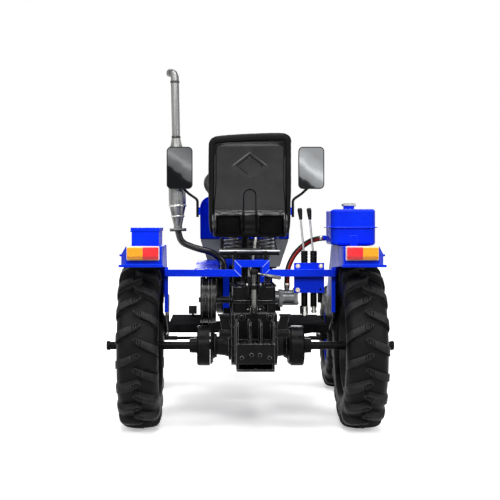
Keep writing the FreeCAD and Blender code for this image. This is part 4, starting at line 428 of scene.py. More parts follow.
class Palette:
    """All finishes of the tractor, made once each."""

    FINISHES = (
        # Two-pack enamel sprayed on sheet steel: deep royal blue with a little orange peel.
        Finish("blue_enamel", "0026D4", "0434E4", 0.28, mottle_mm=260, grain_mm=4.0, relief_mm=0.04, level=0.09,
               edge="3A66FF", edge_mm=2.2),
        # The same enamel rolled on rims, a shade flatter.
        Finish("blue_rim_enamel", "0026C8", "0434D6", 0.4, mottle_mm=120, grain_mm=3.0, relief_mm=0.04, level=0.15,
               edge="3058E8"),
        # Weld bead left proud under the enamel, drawn pale blue: the paleness is painted highlight along the mitres.
        Finish("weld_bead_painted_highlight", "A8B8F6", "7F97EE", 0.35, mottle_mm=6, grain_mm=1.5, relief_mm=0.2, level=0.3),
        # Sand-cast iron under one coat of black paint: dull, with a coarse skin and edges lighter partly from rubbing
        # and partly from painted highlight.
        Finish("painted_casting", "080809", "141415", 0.36, mottle_mm=45, grain_mm=2.4, relief_mm=0.4, spread=0.12,
               level=0.07, edge="48484A", edge_mm=2.4),
        # Brake drums: turned iron with a film of black paint worn from its rims, where the lighter tone is partly
        # painted highlight.
        Finish("drum_iron", "0C0C0D", "1A1A1B", 0.3, mottle_mm=30, grain_mm=2.0, relief_mm=0.2, spread=0.12,
               level=0.05, edge="3A3A3C", edge_mm=2.4),
        # The same casting where hands and hitch pins rub its ribs and edges bare; their near-white edge tone is
        # partly painted highlight.
        Finish("rubbed_highlit_casting", "060606", "101011", 0.36, mottle_mm=45, grain_mm=2.4, relief_mm=0.4, spread=0.12,
               level=0.07, edge="C8C8CA", edge_mm=2.0),
        # Pulley rims turned bright and dulled by oil and belt dust.
        Finish("turned_iron", "1C1C1D", "0E0E0F", 0.3, metallic=0.55, mottle_mm=24, grain_mm=1.6, relief_mm=0.05,
               level=0.2, edge="7C7C7E", edge_mm=1.6),
        # Machined and blackened steel of the hitch screw.
        Finish("oiled_steel", "504F4C", "222120", 0.26, metallic=0.7, mottle_mm=16, grain_mm=1.2, relief_mm=0.05,
               level=0.2, edge="9A9894", edge_mm=1.6),
        # Ground steel of the hitch screw's tube, bright down its length.
        Finish("bright_spindle", "6E6D6A", "242322", 0.22, metallic=0.85, mottle_mm=10, grain=Grain.STREAK,
               grain_mm=2.0, relief_mm=0.04, spread=0.08),
        # Powder coat on frames and brackets: even black with a satin sheen.
        Finish("black_powder_coat", "070708", "0F0F10", 0.34, mottle_mm=80, grain_mm=1.2, relief_mm=0.06,
               level=0.08, edge="38383A", edge_mm=1.4),
        # Chequered footboard sheet under black powder coat.
        Finish("chequered_sheet", "1C1C1D", "28282A", 0.6, mottle_mm=60, grain=Grain.TREAD, grain_mm=26.0,
               relief_mm=0.8, level=0.0, edge="343436"),
        # Grey sheet of the firewall: satin enamel.
        Finish("grey_enamel", "5E6062", "747678", 0.42, mottle_mm=150, grain_mm=3.0, relief_mm=0.03, level=0.2,
               edge="9A9C9E"),
        # Dark grey paint of the rear wheel discs.
        Finish("graphite_rim_paint", "2A2B2D", "363739", 0.4, mottle_mm=90, grain_mm=2.0, relief_mm=0.05,
               level=0.2, edge="66686A"),
        # Aluminised exhaust tube, drawn lengthwise: bright and dark streaks run down it.
        Finish("aluminised_tube", "8E8E8D", "4A4A49", 0.4, metallic=0.9, mottle_mm=22, grain=Grain.STREAK,
               grain_mm=8.0, relief_mm=0.003, spread=0.04),
        # Heat-resistant black on the bent exhaust pipe.
        Finish("black_heat_paint", "0A0A0A", "131312", 0.22, mottle_mm=50, grain_mm=1.4, relief_mm=0.06, level=0.4,
               edge="4A4A4A"),
        # Die-cast aluminium pump body.
        Finish("cast_aluminium", "6C6D6F", "3E3F42", 0.36, metallic=0.8, mottle_mm=25, grain_mm=1.8,
               relief_mm=0.15, level=0.3, edge="C4C4C6"),
        # Bright zinc plate on levers, bolts and clamps.
        Finish("zinc_plate", "CCCBC6", "A09F9A", 0.34, metallic=1.0, mottle_mm=9, grain_mm=1.5, relief_mm=0.03),
        # Yellow-passivated zinc on the valve plate's screws.
        Finish("yellow_zinc", "F0E8CE", "C9B98A", 0.26, metallic=0.9, mottle_mm=5, grain_mm=1.5, relief_mm=0.03),
        # Tyre carcass compound between the lugs: matt black.
        Finish("tyre_rubber", "0C0C0D", "161617", 0.5, mottle_mm=40, grain_mm=2.5, relief_mm=0.15, spread=0.1,
               level=0.08, edge="242425", edge_mm=3.0),
        # Lug faces, scuffed a little lighter by the ground, most along their edges, where the lighter tone is partly
        # painted highlight.
        Finish("tyre_lug_rubber", "1A1A1B", "29292A", 0.5, mottle_mm=26, grain_mm=2.0, relief_mm=0.2, spread=0.12,
               level=0.1, edge="424244", edge_mm=3.4),
        # Belts and hoses: smooth extruded rubber.
        Finish("extruded_rubber", "0A0A0B", "131314", 0.34, mottle_mm=25, grain_mm=1.5, relief_mm=0.06, level=0.25,
               edge="303031"),
        # Red marking line on the hose.
        Finish("red_rubber_line", "A01612", "7C100E", 0.45, mottle_mm=15, grain_mm=1.5, relief_mm=0.05, level=0.2),
        # Seat shell: vacuum-formed glossy ABS.
        Finish("formed_plastic", "151516", "222223", 0.17, mottle_mm=90, grain_mm=1.2, relief_mm=0.02, spread=0.06,
               level=0.26, edge="5A5A5C", edge_mm=2.0),
        # Painted shade under the shell's fold: the pockets and the strip between them are drawn near-black with
        # hardly any gloss.
        Finish("fold_painted_shade", "030304", "080809", 0.34, mottle_mm=40, grain_mm=1.4, relief_mm=0.05, level=0.03),
        # Seat cover: expanded vinyl with a pebbled leather grain.
        Finish("seat_vinyl", "0B0B0C", "141415", 0.36, mottle_mm=70, grain=Grain.PEBBLE, grain_mm=2.4,
               relief_mm=0.12, level=0.07),
        # Injection-moulded black plastic of knobs, boots and mirror shells.
        Finish("moulded_plastic", "08080A", "101011", 0.3, mottle_mm=40, grain_mm=1.0, relief_mm=0.04, level=0.15),
        # Mirror glass with a painted reflection: a bright slanting band, a dark foot and a dimmer left glass.
        PaintedReflectionGlass("mirror_painted_reflection", "101113", "E4E7EA", 0.05, metallic=1.0, grain_mm=60.0, relief_mm=0.01,
                  spread=0.02),
        # Tail-lamp acrylic, moulded in prisms on its inside.
        Finish("red_acrylic", "F01824", "FF2E38", 0.16, mottle_mm=30, grain=Grain.PRISM, grain_mm=5.0,
               relief_mm=0.4, spread=0.03, level=0.4, edge="FF8A8E"),
        Finish("amber_acrylic", "FFA00A", "FFB420", 0.16, mottle_mm=30, grain=Grain.PRISM, grain_mm=5.0,
               relief_mm=0.4, spread=0.03, level=0.4, edge="FFD88A"),
        # White ABS back of the tail lamps.
        Finish("white_plastic", "E6E6E2", "DADAD6", 0.35, mottle_mm=40, grain_mm=1.0, relief_mm=0.03),
        # Headlamp glass with vertical flutes in front of its reflector.
        Finish("fluted_glass", "DDE3E8", "C6CDD4", 0.1, metallic=0.35, mottle_mm=40, grain=Grain.STREAK,
               grain_mm=9.0, relief_mm=0.5, coat=1.0, spread=0.04),
        # Chromed filler cap.
        Finish("chrome", "D6D6D8", "96969A", 0.12, metallic=1.0, mottle_mm=14, grain_mm=8.0, relief_mm=0.01,
               spread=0.04),
        # Bright drawn spring wire and rods.
        Finish("spring_steel", "BABAB8", "868685", 0.38, metallic=0.9, mottle_mm=70, grain_mm=1.5, relief_mm=0.04),
        # Copper-brass radiator core under thin black paint.
        Finish("radiator_paint", "101010", "191817", 0.55, mottle_mm=15, grain_mm=2.0, relief_mm=0.3, level=0.15),
    )
    NODES = {
        "blue_enamel": ("fender_left", "fender_right", "tube_frames", "belt_guard", "hydraulic_tank", "toolbox",
                        "toolbox_lid", "dash_cowl", "dash_panel", "hood", "nose"),
        "blue_rim_enamel": ("front_wheel_left", "front_wheel_right"),
        "painted_casting": ("engine_block", "control_valve"),
        "rubbed_highlit_casting": ("gearbox_case", "axle_housings", "hitch_box"),
        "drum_iron": ("rear_shaft_left", "rear_shaft_right"),
        "turned_iron": ("belt_pulleys",),
        "oiled_steel": ("hitch_adjuster",),
        "black_powder_coat": ("frame_rails", "seat_frame", "front_axle", "front_bumper", "pedals", "knuckle_left",
                              "knuckle_right", "drop_arm", "drag_link", "tie_rod", "steering_column"),
        "chequered_sheet": ("footboards",),
        "grey_enamel": ("firewall",),
        "graphite_rim_paint": ("rear_wheel_left", "rear_wheel_right"),
        "aluminised_tube": ("muffler",),
        "black_heat_paint": ("exhaust_pipe",),
        "cast_aluminium": ("hydraulic_pump",),
        "extruded_rubber": ("drive_belts",),
        "formed_plastic": ("seat_shell",),
        "moulded_plastic": ("mirror_housings", "hand_levers", "front_grille", "steering_wheel"),
        "mirror_painted_reflection": ("mirror_glasses",),
        "red_acrylic": ("lamp_lenses_red",),
        "amber_acrylic": ("lamp_lenses_amber",),
        "white_plastic": ("lamp_bases",),
        "fluted_glass": ("headlamps",),
        "chrome": ("tank_cap",),
        "spring_steel": ("seat_springs",),
        "radiator_paint": ("radiator",),
    }

    def __init__(self) -> None:
        """Make every material."""
        self.made = {finish.name: finish.make() for finish in self.FINISHES}

    def dress_frame(self, nodes: dict[str, bpy.types.Object]) -> None:
        """Give the solid model's nodes their finishes.

        Args:
            nodes: The model's objects by node name.
        """
        for finish, names in self.NODES.items():
            for name in (n for n in names if n in nodes):
                nodes[name].data.materials.clear()
                nodes[name].data.materials.append(self.made[finish])

    def dress(self, piece: bpy.types.Object, *finishes: str) -> None:
        """Give a new piece its materials, in slot order."""
        for finish in finishes:
            piece.data.materials.append(self.made[finish])


def new_piece(name: str, mesh: bmesh.types.BMesh, body: str, slot: str, smooth: bool = True) -> bpy.types.Object:
    """Turn a bmesh into a piece that rides on a body.

    Args:
        name: Name of the piece.
        mesh: Its shape, which is freed.
        body: Body that it moves with.
        slot: Record's material slot that it stands for; not used.
        smooth: Whether its faces shade smoothly up to 35 degrees.

    Returns:
        The linked object.
    """
    bmesh.ops.recalc_face_normals(mesh, faces=mesh.faces)
    data = bpy.data.meshes.new(name)
    mesh.to_mesh(data)
    mesh.free()
    piece = bpy.data.objects.new(name, data)
    bpy.context.scene.collection.objects.link(piece)
    if smooth:
        data.shade_smooth()
        data.set_sharp_from_angle(angle=math.radians(35))
    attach(piece, body)
    LOG.info("%s: %d faces on %s", name, len(data.polygons), body)
    return piece


def moved(mesh: bmesh.types.BMesh, place: Callable[[Vector], Vector], verts: Iterable[bmesh.types.BMVert]) -> None:
    """Send every vertex to a new place.

    Args:
        mesh: The bmesh that holds the vertices.
        place: Function from the old place to the new one.
        verts: Vertices to move.
    """
    for vert in verts:
        vert.co = place(vert.co)
    mesh.normal_update()


def along_line(line: Sequence[tuple[float, float]], share: float) -> Vector:
    """Find a place on a line of points.

    Args:
        line: Corners as (across, radius).
        share: How far along it, from 0 to 1.

    Returns:
        The place as a two-dimensional vector.
    """
    corners = [Vector(p) for p in line]
    lengths = [(b - a).length for a, b in zip(corners, corners[1:])]
    left = share * sum(lengths)
    for a, b, length in zip(corners, corners[1:], lengths):
        if left <= length:
            return a.lerp(b, left / length)
        left -= length
    return corners[-1]


@dataclass
class Tyre:
    """A drive tyre: carcass with beaded walls and two staggered rows of slanting lugs."""

    node: str
    body: str
    lugs: int
    lug_height: float
    lug_width: float
    slant: float                    # how far a lug's inner end leads its outer end, round the tyre
    rim_radius: float
    carcass_steps: int = 96

    def build(self, palette: Palette) -> bpy.types.Object:
        """Model the tyre in place of its plain solid.

        Args:
            palette: The tractor's materials.

        Returns:
            The tyre's object.
        """
        low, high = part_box(self.node)
        self.centre = (low + high) / 2
        self.radius = (high.z - low.z) / 2
        self.half = (high.x - low.x) / 2
        mesh = bmesh.new()
        self.carcass(mesh)
        for side in (-1, 1):
            self.lug_row(mesh, side)
        bmesh.ops.translate(mesh, verts=mesh.verts, vec=self.centre)
        piece = new_piece(self.node + "_treaded", mesh, self.body, "tyre_rubber")
        palette.dress(piece, "tyre_rubber", "tyre_lug_rubber")
        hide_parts(self.node)
        return piece

    def wall_line(self, drop: float) -> list[tuple[float, float]]:
        """Outline from the crown to the lower end of the lugs, lowered by a depth."""
        r, h = self.radius - drop, self.half - 0.22 * drop
        return [(0.0, r), (0.36 * h, r - 0.0016), (0.66 * h, r - 0.006), (0.84 * h, r - 0.013),
                (0.94 * h, r - 0.026), (0.99 * h, r - 0.048), (0.985 * h, r - 0.07)]

    def carcass(self, mesh: bmesh.types.BMesh) -> None:
        """Spin the carcass section about the axle.

        Args:
            mesh: The tyre's bmesh, centred on the axle.
        """
        h, rim = self.half, self.rim_radius
        tread = self.wall_line(self.lug_height)
        tall = self.radius - rim
        wall = [(0.95 * h, rim + 0.6 * tall), (0.965 * h, rim + 0.47 * tall), (0.95 * h, rim + 0.34 * tall),
                (0.93 * h, rim + 0.27 * tall), (0.945 * h, rim + 0.24 * tall), (0.9 * h, rim + 0.2 * tall),
                (0.8 * h, rim + 0.11 * tall), (0.72 * h, rim + 0.085 * tall), (0.69 * h, rim + 0.002)]
        inside = [(0.5 * h, rim + 0.002), (0.78 * h, rim + 0.45 * tall), (0.6 * h, rim + 0.7 * tall),
                  (0.0, rim + 0.74 * tall)]
        right = tread[:5] + wall + inside
        line = [(x, r) for x, r in right] + [(-x, r) for x, r in reversed(right[1:-1])]
        verts = [mesh.verts.new((x, 0.0, r)) for x, r in line]
        edges = [mesh.edges.new((a, b)) for a, b in zip(verts, verts[1:] + verts[:1])]
        bmesh.ops.spin(mesh, geom=verts + edges, cent=(0, 0, 0), axis=(1, 0, 0), angle=math.tau,
                       steps=self.carcass_steps, use_merge=True)
        bmesh.ops.remove_doubles(mesh, verts=mesh.verts, dist=1e-6)

    def lug_row(self, mesh: bmesh.types.BMesh, side: int) -> None:
        """Shape one lug from a block and repeat it round the tyre.

        Args:
            mesh: The tyre's bmesh, centred on the axle.
            side: -1 for the left row, 1 for the right.
        """
        lug = bmesh.new()
        bmesh.ops.create_cube(lug, size=1.0)
        long_edges = [e for e in lug.edges if abs((e.verts[0].co - e.verts[1].co).x) > 0.5]
        bmesh.ops.subdivide_edges(lug, edges=long_edges, cuts=15, use_grid_fill=True)
        rim = [e for e in lug.edges if all(v.co.z > 0.49 for v in e.verts)
               and (all(abs(v.co.y) > 0.49 for v in e.verts) or all(abs(v.co.x) > 0.49 for v in e.verts))
               and abs(e.verts[0].co.y - e.verts[1].co.y) * abs(e.verts[0].co.x - e.verts[1].co.x) < 1e-6]
        bmesh.ops.bevel(lug, geom=rim, offset=0.09, offset_type="OFFSET", affect="EDGES", segments=2, profile=0.5,
                        material=-1)
        top = self.wall_line(0.0)
        base = self.wall_line(self.lug_height + 0.006)
        phase = math.pi / self.lugs * (0 if side > 0 else 1)

        def place(p: Vector) -> Vector:
            share = min(1.0, max(0.0, p.x + 0.5))
            height = min(1.0, max(0.0, p.z + 0.5))
            across = along_line(base, share).lerp(along_line(top, share), height)
            inner = 0.18 * self.half * (1 - share) ** 2
            blunt = math.sqrt(max(0.1, 1 - max(0.0, 1 - share / 0.14) ** 2))
            flare = (1.0 + 0.3 * (1 - height) + 0.45 * smooth(share)) * blunt
            round_it = self.slant * (1 - share) ** 1.25 + p.y * self.lug_width * flare
            angle = phase + round_it / self.radius
            x = side * (across.x - inner)
            return Vector((x, -across.y * math.cos(angle), across.y * math.sin(angle)))

        moved(lug, place, lug.verts)
        bmesh.ops.spin(lug, geom=lug.verts[:] + lug.edges[:] + lug.faces[:], cent=(0, 0, 0), axis=(1, 0, 0),
                       angle=math.tau, steps=self.lugs, use_merge=False, use_duplicate=True)
        # The last copy of a full turn lies on the first lug, so one of the two goes.
        first = [v for v in lug.verts[:len(lug.verts) // (self.lugs + 1)]]
        bmesh.ops.delete(lug, geom=first, context="VERTS")
        for face in lug.faces:
            face.material_index = 1
        row = bpy.data.meshes.new("lug_row")
        lug.to_mesh(row)
        lug.free()
        mesh.from_mesh(row)
        bpy.data.meshes.remove(row)


@dataclass
class Seat:
    """Upholstery of the driver's seat."""

    voxel: float = 0.006
    pull_in: float = 0.005
    swell: float = 0.011
    channel_depth: float = 0.006
    channel_width: float = 0.007
    slump: float = 0.05            # how much lower the back's left corner sits

    def build(self, palette: Palette, nodes: dict[str, bpy.types.Object]) -> None:
        """Model the cushion that covers the pan and the back.

        Args:
            palette: The tractor's materials.
            nodes: The model's objects by node name.
        """
        mesh = bmesh.new()
        mesh.from_mesh(nodes["seat_cushion"].data)
        bmesh.ops.remove_doubles(mesh, verts=mesh.verts, dist=1e-5)
        pad = new_piece("seat_pad", mesh, "frame", "upholstery_black")
        self.remesh(pad)
        self.shift(pad, -self.pull_in)
        for vert in pad.data.vertices:
            vert.co.z += self.slump * (vert.co.x - 0.19) * smooth((vert.co.z - 1.22) / 0.1)
        self.inflate(pad)
        self.sew_channels(pad)
        refine = pad.modifiers.new("Refine", "SUBSURF")
        refine.levels = refine.render_levels = 1
        pad.data.shade_smooth()
        palette.dress(pad, "seat_vinyl")
        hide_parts("seat_cushion")

    def remesh(self, pad: bpy.types.Object) -> None:
        """Rebuild the cushion's skin in even squares."""
        grid = pad.modifiers.new("Grid", "REMESH")
        grid.mode = "VOXEL"
        grid.voxel_size = self.voxel
        self.apply(pad)

    def apply(self, pad: bpy.types.Object) -> None:
        """Put the modifiers' result into the mesh."""
        graph = bpy.context.evaluated_depsgraph_get()
        result = bpy.data.meshes.new_from_object(pad.evaluated_get(graph))
        pad.modifiers.clear()
        pad.data = result

    def shift(self, pad: bpy.types.Object, step: float) -> None:
        """Move the skin along its normals by a step."""
        normals = [v.normal.copy() for v in pad.data.vertices]
        for vert, normal in zip(pad.data.vertices, normals):
            vert.co += normal * step

    def inflate(self, pad: bpy.types.Object) -> None:
        """Blow the cushion up as sewn cloth, held to a few millimetres.

        Args:
            pad: The cushion.
        """
        start = [v.co.copy() for v in pad.data.vertices]
        cloth = pad.modifiers.new("Cloth", "CLOTH")
        cloth.settings.use_pressure = True
        cloth.settings.uniform_pressure_force = 4.0
        cloth.settings.effector_weights.gravity = 0.0
        cloth.settings.tension_stiffness = 25.0
        scene = bpy.context.scene
        for frame in range(1, 21):
            scene.frame_set(frame)
        self.apply(pad)
        scene.frame_set(1)
        for vert, first in zip(pad.data.vertices, start):
            step = vert.co - first
            if step.length > self.swell:
                vert.co = first + step.normalized() * self.swell

    def sew_channels(self, pad: bpy.types.Object) -> None:
        """Press sewn channels across the front of the back and the top of the pan.

        Args:
            pad: The cushion.
        """
        low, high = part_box("seat_cushion")
        back_lines = [low.z + share * (high.z - low.z) for share in (0.34, 0.52, 0.7, 0.86)]
        pan_lines = [low.y + share * (high.y - low.y) for share in (0.42, 0.6, 0.78)]
        normals = [v.normal.copy() for v in pad.data.vertices]
        for vert, normal in zip(pad.data.vertices, normals):
            depth = 0.0
            if normal.y > 0.5:
                depth = sum(math.exp(-((vert.co.z - line) / self.channel_width) ** 2) for line in back_lines)
            elif normal.z > 0.5 and vert.co.z < low.z + 0.2 * (high.z - low.z):
                depth = sum(math.exp(-((vert.co.y - line) / self.channel_width) ** 2) for line in pan_lines)
            vert.co -= normal * depth * self.channel_depth


@dataclass
class SeatShell:
    """Vacuum-formed back of the seat: raised panel, pressed rhombus, arched channel and two pockets."""

    columns: int = 164
    rows: int = 220
    sheet: float = 0.0035
    pocket_floor: float = 0.058
    line: tuple[tuple[float, float], ...] = (
        (48, 1291), (55, 1220), (63, 1150), (70, 1080), (78, 1000), (80, 970), (52, 938), (38, 906), (37, 878),
        (40, 861))

    def build(self, palette: Palette) -> None:
        """Model the shell as a displaced sheet.

        Args:
            palette: The tractor's materials.
        """
        line = spline_points([at(0, y, z) for y, z in self.line], 24)
        lengths = [0.0]
        for a, b in zip(line, line[1:]):
            lengths.append(lengths[-1] + (b - a).length)
        mesh = bmesh.new()
        bmesh.ops.create_grid(mesh, x_segments=self.columns, y_segments=self.rows, size=1.0)

        def place(p: Vector) -> Vector:
            s = (1 - p.y) / 2 * lengths[-1]
            i = next((k for k in range(1, len(lengths)) if lengths[k] >= s - 1e-9), len(lengths) - 1)
            spot = line[i - 1].lerp(line[i], (s - lengths[i - 1]) / max(1e-9, lengths[i] - lengths[i - 1]))
            run = (line[i] - line[i - 1]).normalized()
            out = Vector((0.0, run.z, -run.y))
            u = p.x * (self.edge(spot.z) + 0.007)
            spot += Vector((u, 0, 0)) + out * self.height(abs(u), s, spot.z)
            sunk = self.pocket(abs(u), spot.z)
            spot.y += sunk * max(0.0, at(0, 1000 * self.pocket_floor, 0).y - spot.y)
            return spot

        moved(mesh, place, mesh.verts)
        # Faces under a wavy line below the fold take the near-black second finish: painted shade of the undercut
        # zone.
        for face in mesh.faces:
            middle = face.calc_center_median()
            shade_line = 0.961 + 0.002 * math.sin(95 * middle.x)
            face.material_index = 1 if middle.z < shade_line and abs(middle.x) < 0.156 else 0
        shell = new_piece("seat_back_shell", mesh, "frame", "shell_black")
        skin = shell.modifiers.new("Sheet", "SOLIDIFY")
        skin.thickness = self.sheet
        skin.offset = -1.0
        palette.dress(shell, "formed_plastic", "fold_painted_shade")
        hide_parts("seat_shell")

    def edge(self, z: float) -> float:
        """Half-width of the raised panel at a height."""
        return 0.157 + 0.009 * smooth((1.12 - z) / 0.14) - 0.004 * smooth((0.93 - z) / 0.06)

    def pocket(self, u: float, z: float) -> float:
        """How far a place lies in one of the two pockets under the fold."""
        return smooth((0.956 - z) / 0.008) * smooth((z - 0.872) / 0.006) * smooth((u - 0.042) / 0.006) \
            * smooth((0.152 - u) / 0.006)

    def height(self, u: float, s: float, z: float) -> float:
        """How far the shell stands out at a place.

        Args:
            u: Distance from its middle line.
            s: Distance from its top along the shell.
            z: Height above the ground.

        Returns:
            Height of the relief in metres.
        """
        edge = self.edge(z)
        corner, top = 0.024, 0.009
        reach = u - edge if s > top + corner or u < edge - corner else \
            math.hypot(u - edge + corner, top + corner - s) - corner
        depth = 0.011 * smooth(-reach / 0.006) * smooth((s - top) / 0.006) + 0.004 * (1 - (u / 0.16) ** 2)
        w = z - 1.186
        ring = u / 0.061 + abs(w) / 0.047
        depth += 0.003 * smooth((1.42 - ring) / 0.24) - 0.008 * smooth((1.05 - ring) / 0.16)
        for dimple in (math.hypot(u - 0.057, w), math.hypot(u, abs(w) - 0.044)):
            depth -= 0.003 * math.exp(-(dimple / 0.005) ** 2)
        lower = smooth((1.05 - z) / 0.1)
        reach = (u if z < 1.05 else math.hypot(u, z - 1.05)) - 0.031 - 0.006 * lower
        depth -= 0.010 * smooth(-reach / (0.007 + 0.008 * lower)) * smooth((z - 0.872) / 0.02)
        crease = smooth((0.992 - z) / 0.014) * smooth((z - 0.95) / 0.012)
        return depth + 0.0022 * math.sin((z - 0.94) / 0.0042 + 14 * u) * crease \
            * smooth((u - 0.045) / 0.02) * smooth((0.15 - u) / 0.02)


@dataclass
class SeatRoll:
    """Padded vinyl roll that frames the back of the shell."""

    route: tuple[tuple[float, float, float], ...] = (
        (-176, 78, 874), (-177, 86, 970), (-175, 74, 1130), (-174, 60, 1255), (-173, 52, 1299), (-118, 50, 1306),
        (0, 50, 1313), (118, 50, 1317), (173, 52, 1314), (174, 60, 1265), (175, 74, 1130), (177, 86, 970),
        (176, 78, 874))

    def build(self, palette: Palette) -> None:
        """Model the roll as one long soft tube.

        Args:
            palette: The tractor's materials.
        """
        points = spline_points([at(*corner) for corner in self.route], 16)
        radii = []
        for i, point in enumerate(points):
            end = min(i, len(points) - 1 - i) / 8
            round_end = math.sqrt(max(0.05, 1 - max(0.0, 1 - end) ** 2))
            wide = 0.0115 + 0.0035 * smooth((point.z - 0.98) / 0.12) + 0.0035 * smooth((point.z - 1.28) / 0.03)
            pinch = 1 - 0.03 * (0.5 + 0.5 * math.sin(i * 0.9)) ** 4
            radii.append((0.015 * round_end, wide * round_end * pinch))
        mesh = bmesh.new()
        tube(mesh, points, radii, Vector((0, -1, 0)), 32)
        roll = new_piece("seat_edge_roll", mesh, "frame", "upholstery_black")
        palette.dress(roll, "seat_vinyl")


def turned_piece(mesh: bmesh.types.BMesh, line: Sequence[tuple[float, float]], foot: Vector, heading: Vector,
                 finish: int = 0, steps: int = 28) -> None:
    """Spin an outline into a closed solid of revolution.

    Args:
        mesh: Bmesh that takes the solid.
        line: Corners as (along, radius), from one end of the axis to the other.
        foot: Start of the axis.
        heading: Direction of the axis.
        finish: Material index of its faces.
        steps: Number of faces round the axis.
    """
    turn = heading.normalized().to_track_quat("Z", "Y").to_matrix().to_4x4()
    matrix = Matrix.Translation(foot) @ turn
    verts = [mesh.verts.new(matrix @ Vector((max(r, 1e-5), 0, a))) for a, r in line]
    edges = [mesh.edges.new(pair) for pair in zip(verts, verts[1:])]
    before = set(mesh.faces)
    bmesh.ops.spin(mesh, geom=verts + edges, cent=foot, axis=heading.normalized(), angle=math.tau, steps=steps,
                   use_merge=True)
    for face in (f for f in mesh.faces if f not in before):
        face.material_index = finish


@dataclass
class HandLevers:
    """Two valve levers and the gear lever: zinc-plated sticks with moulded knobs."""

    valve_feet: tuple[float, ...] = (248, 290)

    def build(self, palette: Palette) -> None:
        """Model the three levers.

        Args:
            palette: The tractor's materials.
        """
        mesh = bmesh.new()
        for x in self.valve_feet:
            foot = at(x, 81, 796.6)
            heading = at(x - 14, 81, 944.6) - foot
            length = heading.length
            knob = length - 0.006
            turned_piece(mesh, [(0, 0), (0, 0.0045), (length, 0.0045), (length, 0)], foot, heading)
            turned_piece(mesh, [(0, 0), (0, 0.0072), (0.004, 0.0076), (0.03, 0.0104), (0.044, 0.0112),
                                (0.05, 0.0102), (0.0535, 0.0072), (0.054, 0)],
                         foot + heading * (knob / length), heading, 1)
        route = [at(0, 150, 674), at(0, 150, 700), at(6, 185, 720), at(34, 440, 775), at(60, 560, 980)]
        points = spline_points(route, 8)
        for a, b in zip(points, points[1:]):
            turned_piece(mesh, [(0, 0), (0, 0.006), ((b - a).length, 0.006), ((b - a).length, 0)], a, b - a, 0, 12)
        heading = points[-1] - points[-2]
        turned_piece(mesh, [(-0.005, 0), (-0.004, 0.0105), (0.012, 0.012), (0.03, 0.0165), (0.04, 0.017),
                            (0.047, 0.013), (0.049, 0)], points[-1], heading, 1)
        piece = new_piece("levers_plated", mesh, "frame", "lever_steel")
        palette.dress(piece, "zinc_plate", "moulded_plastic")
        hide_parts("hand_levers")


@dataclass(frozen=True)
class Bolt:
    """A hexagon or round head on its washer."""

    spot: Vector
    heading: Vector
    flats: float = 0.013
    round_head: bool = False
    nut: bool = False


@dataclass
class Hardware:
    """Bolts, nuts and washers that ride on one body."""

    name: str
    body: str
    slot: str
    finish: str
    node: str
    bolts: list[Bolt] = field(default_factory=list)

    def row(self, spots: Iterable[tuple[float, float, float]], heading: tuple[float, float, float],
            flats: float = 13.0, **kind: bool) -> "Hardware":
        """Add bolts that face one way.

        Args:
            spots: Places in millimetres, with Y from the rear axle.
            heading: Direction of the heads.
            flats: Width across flats in millimetres.
            kind: Flags of the bolts.

        Returns:
            This set, so that calls can follow each other.
        """
        self.bolts += [Bolt(at(*spot), Vector(heading), flats * MM, **kind) for spot in spots]
        return self

    def circle(self, centre: tuple[float, float, float], radius: float, count: int, side: int,
               flats: float = 17.0) -> "Hardware":
        """Add bolts on a circle about an axle."""
        for i in range(count):
            angle = math.tau * (i + 0.5) / count
            spot = (centre[0], centre[1] + radius * math.cos(angle), centre[2] + radius * math.sin(angle))
            self.bolts.append(Bolt(at(*spot), Vector((side, 0, 0)), flats * MM, nut=True))
        return self

    def build(self, palette: Palette, surfaces: Surfaces) -> None:
        """Model all bolts as one piece.

        Args:
            palette: The tractor's materials.
            surfaces: Skins of the solid model.
        """
        mesh = bmesh.new()
        for bolt in self.bolts:
            f = bolt.flats
            foot = surfaces.land(self.node, bolt.spot, bolt.heading) - bolt.heading.normalized() * 0.0005
            turned_piece(mesh, [(0, 0), (0, 0.95 * f), (0.001, f), (0.0022, 0.96 * f), (0.0022, 0)], foot,
                         bolt.heading, 0, 20)
            if bolt.round_head:
                turned_piece(mesh, [(0.0018, 0), (0.002, 0.72 * f), (0.005, 0.66 * f), (0.0075, 0.42 * f),
                                    (0.0083, 0)], foot, bolt.heading, 0, 20)
                continue
            turn = bolt.heading.normalized().to_track_quat("Z", "Y").to_matrix().to_4x4()
            height = 0.62 * f
            lift = Matrix.Translation((0, 0, 0.0018 + height / 2))
            head = bmesh.ops.create_cone(mesh, cap_ends=True, segments=6, radius1=0.577 * f, radius2=0.577 * f,
                                         depth=height, matrix=Matrix.Translation(foot) @ turn @ lift)["verts"]
            edges = list({e for v in head for e in v.link_edges})
            bmesh.ops.bevel(mesh, geom=edges, offset=0.07 * f, offset_type="OFFSET", affect="EDGES", segments=2,
                            profile=0.5, material=-1)
            if bolt.nut:
                turned_piece(mesh, [(height, 0), (height, 0.3 * f), (height + 0.35 * f, 0.3 * f),
                                    (height + 0.42 * f, 0.24 * f), (height + 0.42 * f, 0)], foot,
                             bolt.heading, 0, 16)
        piece = new_piece(self.name, mesh, self.body, self.slot)
        palette.dress(piece, self.finish)


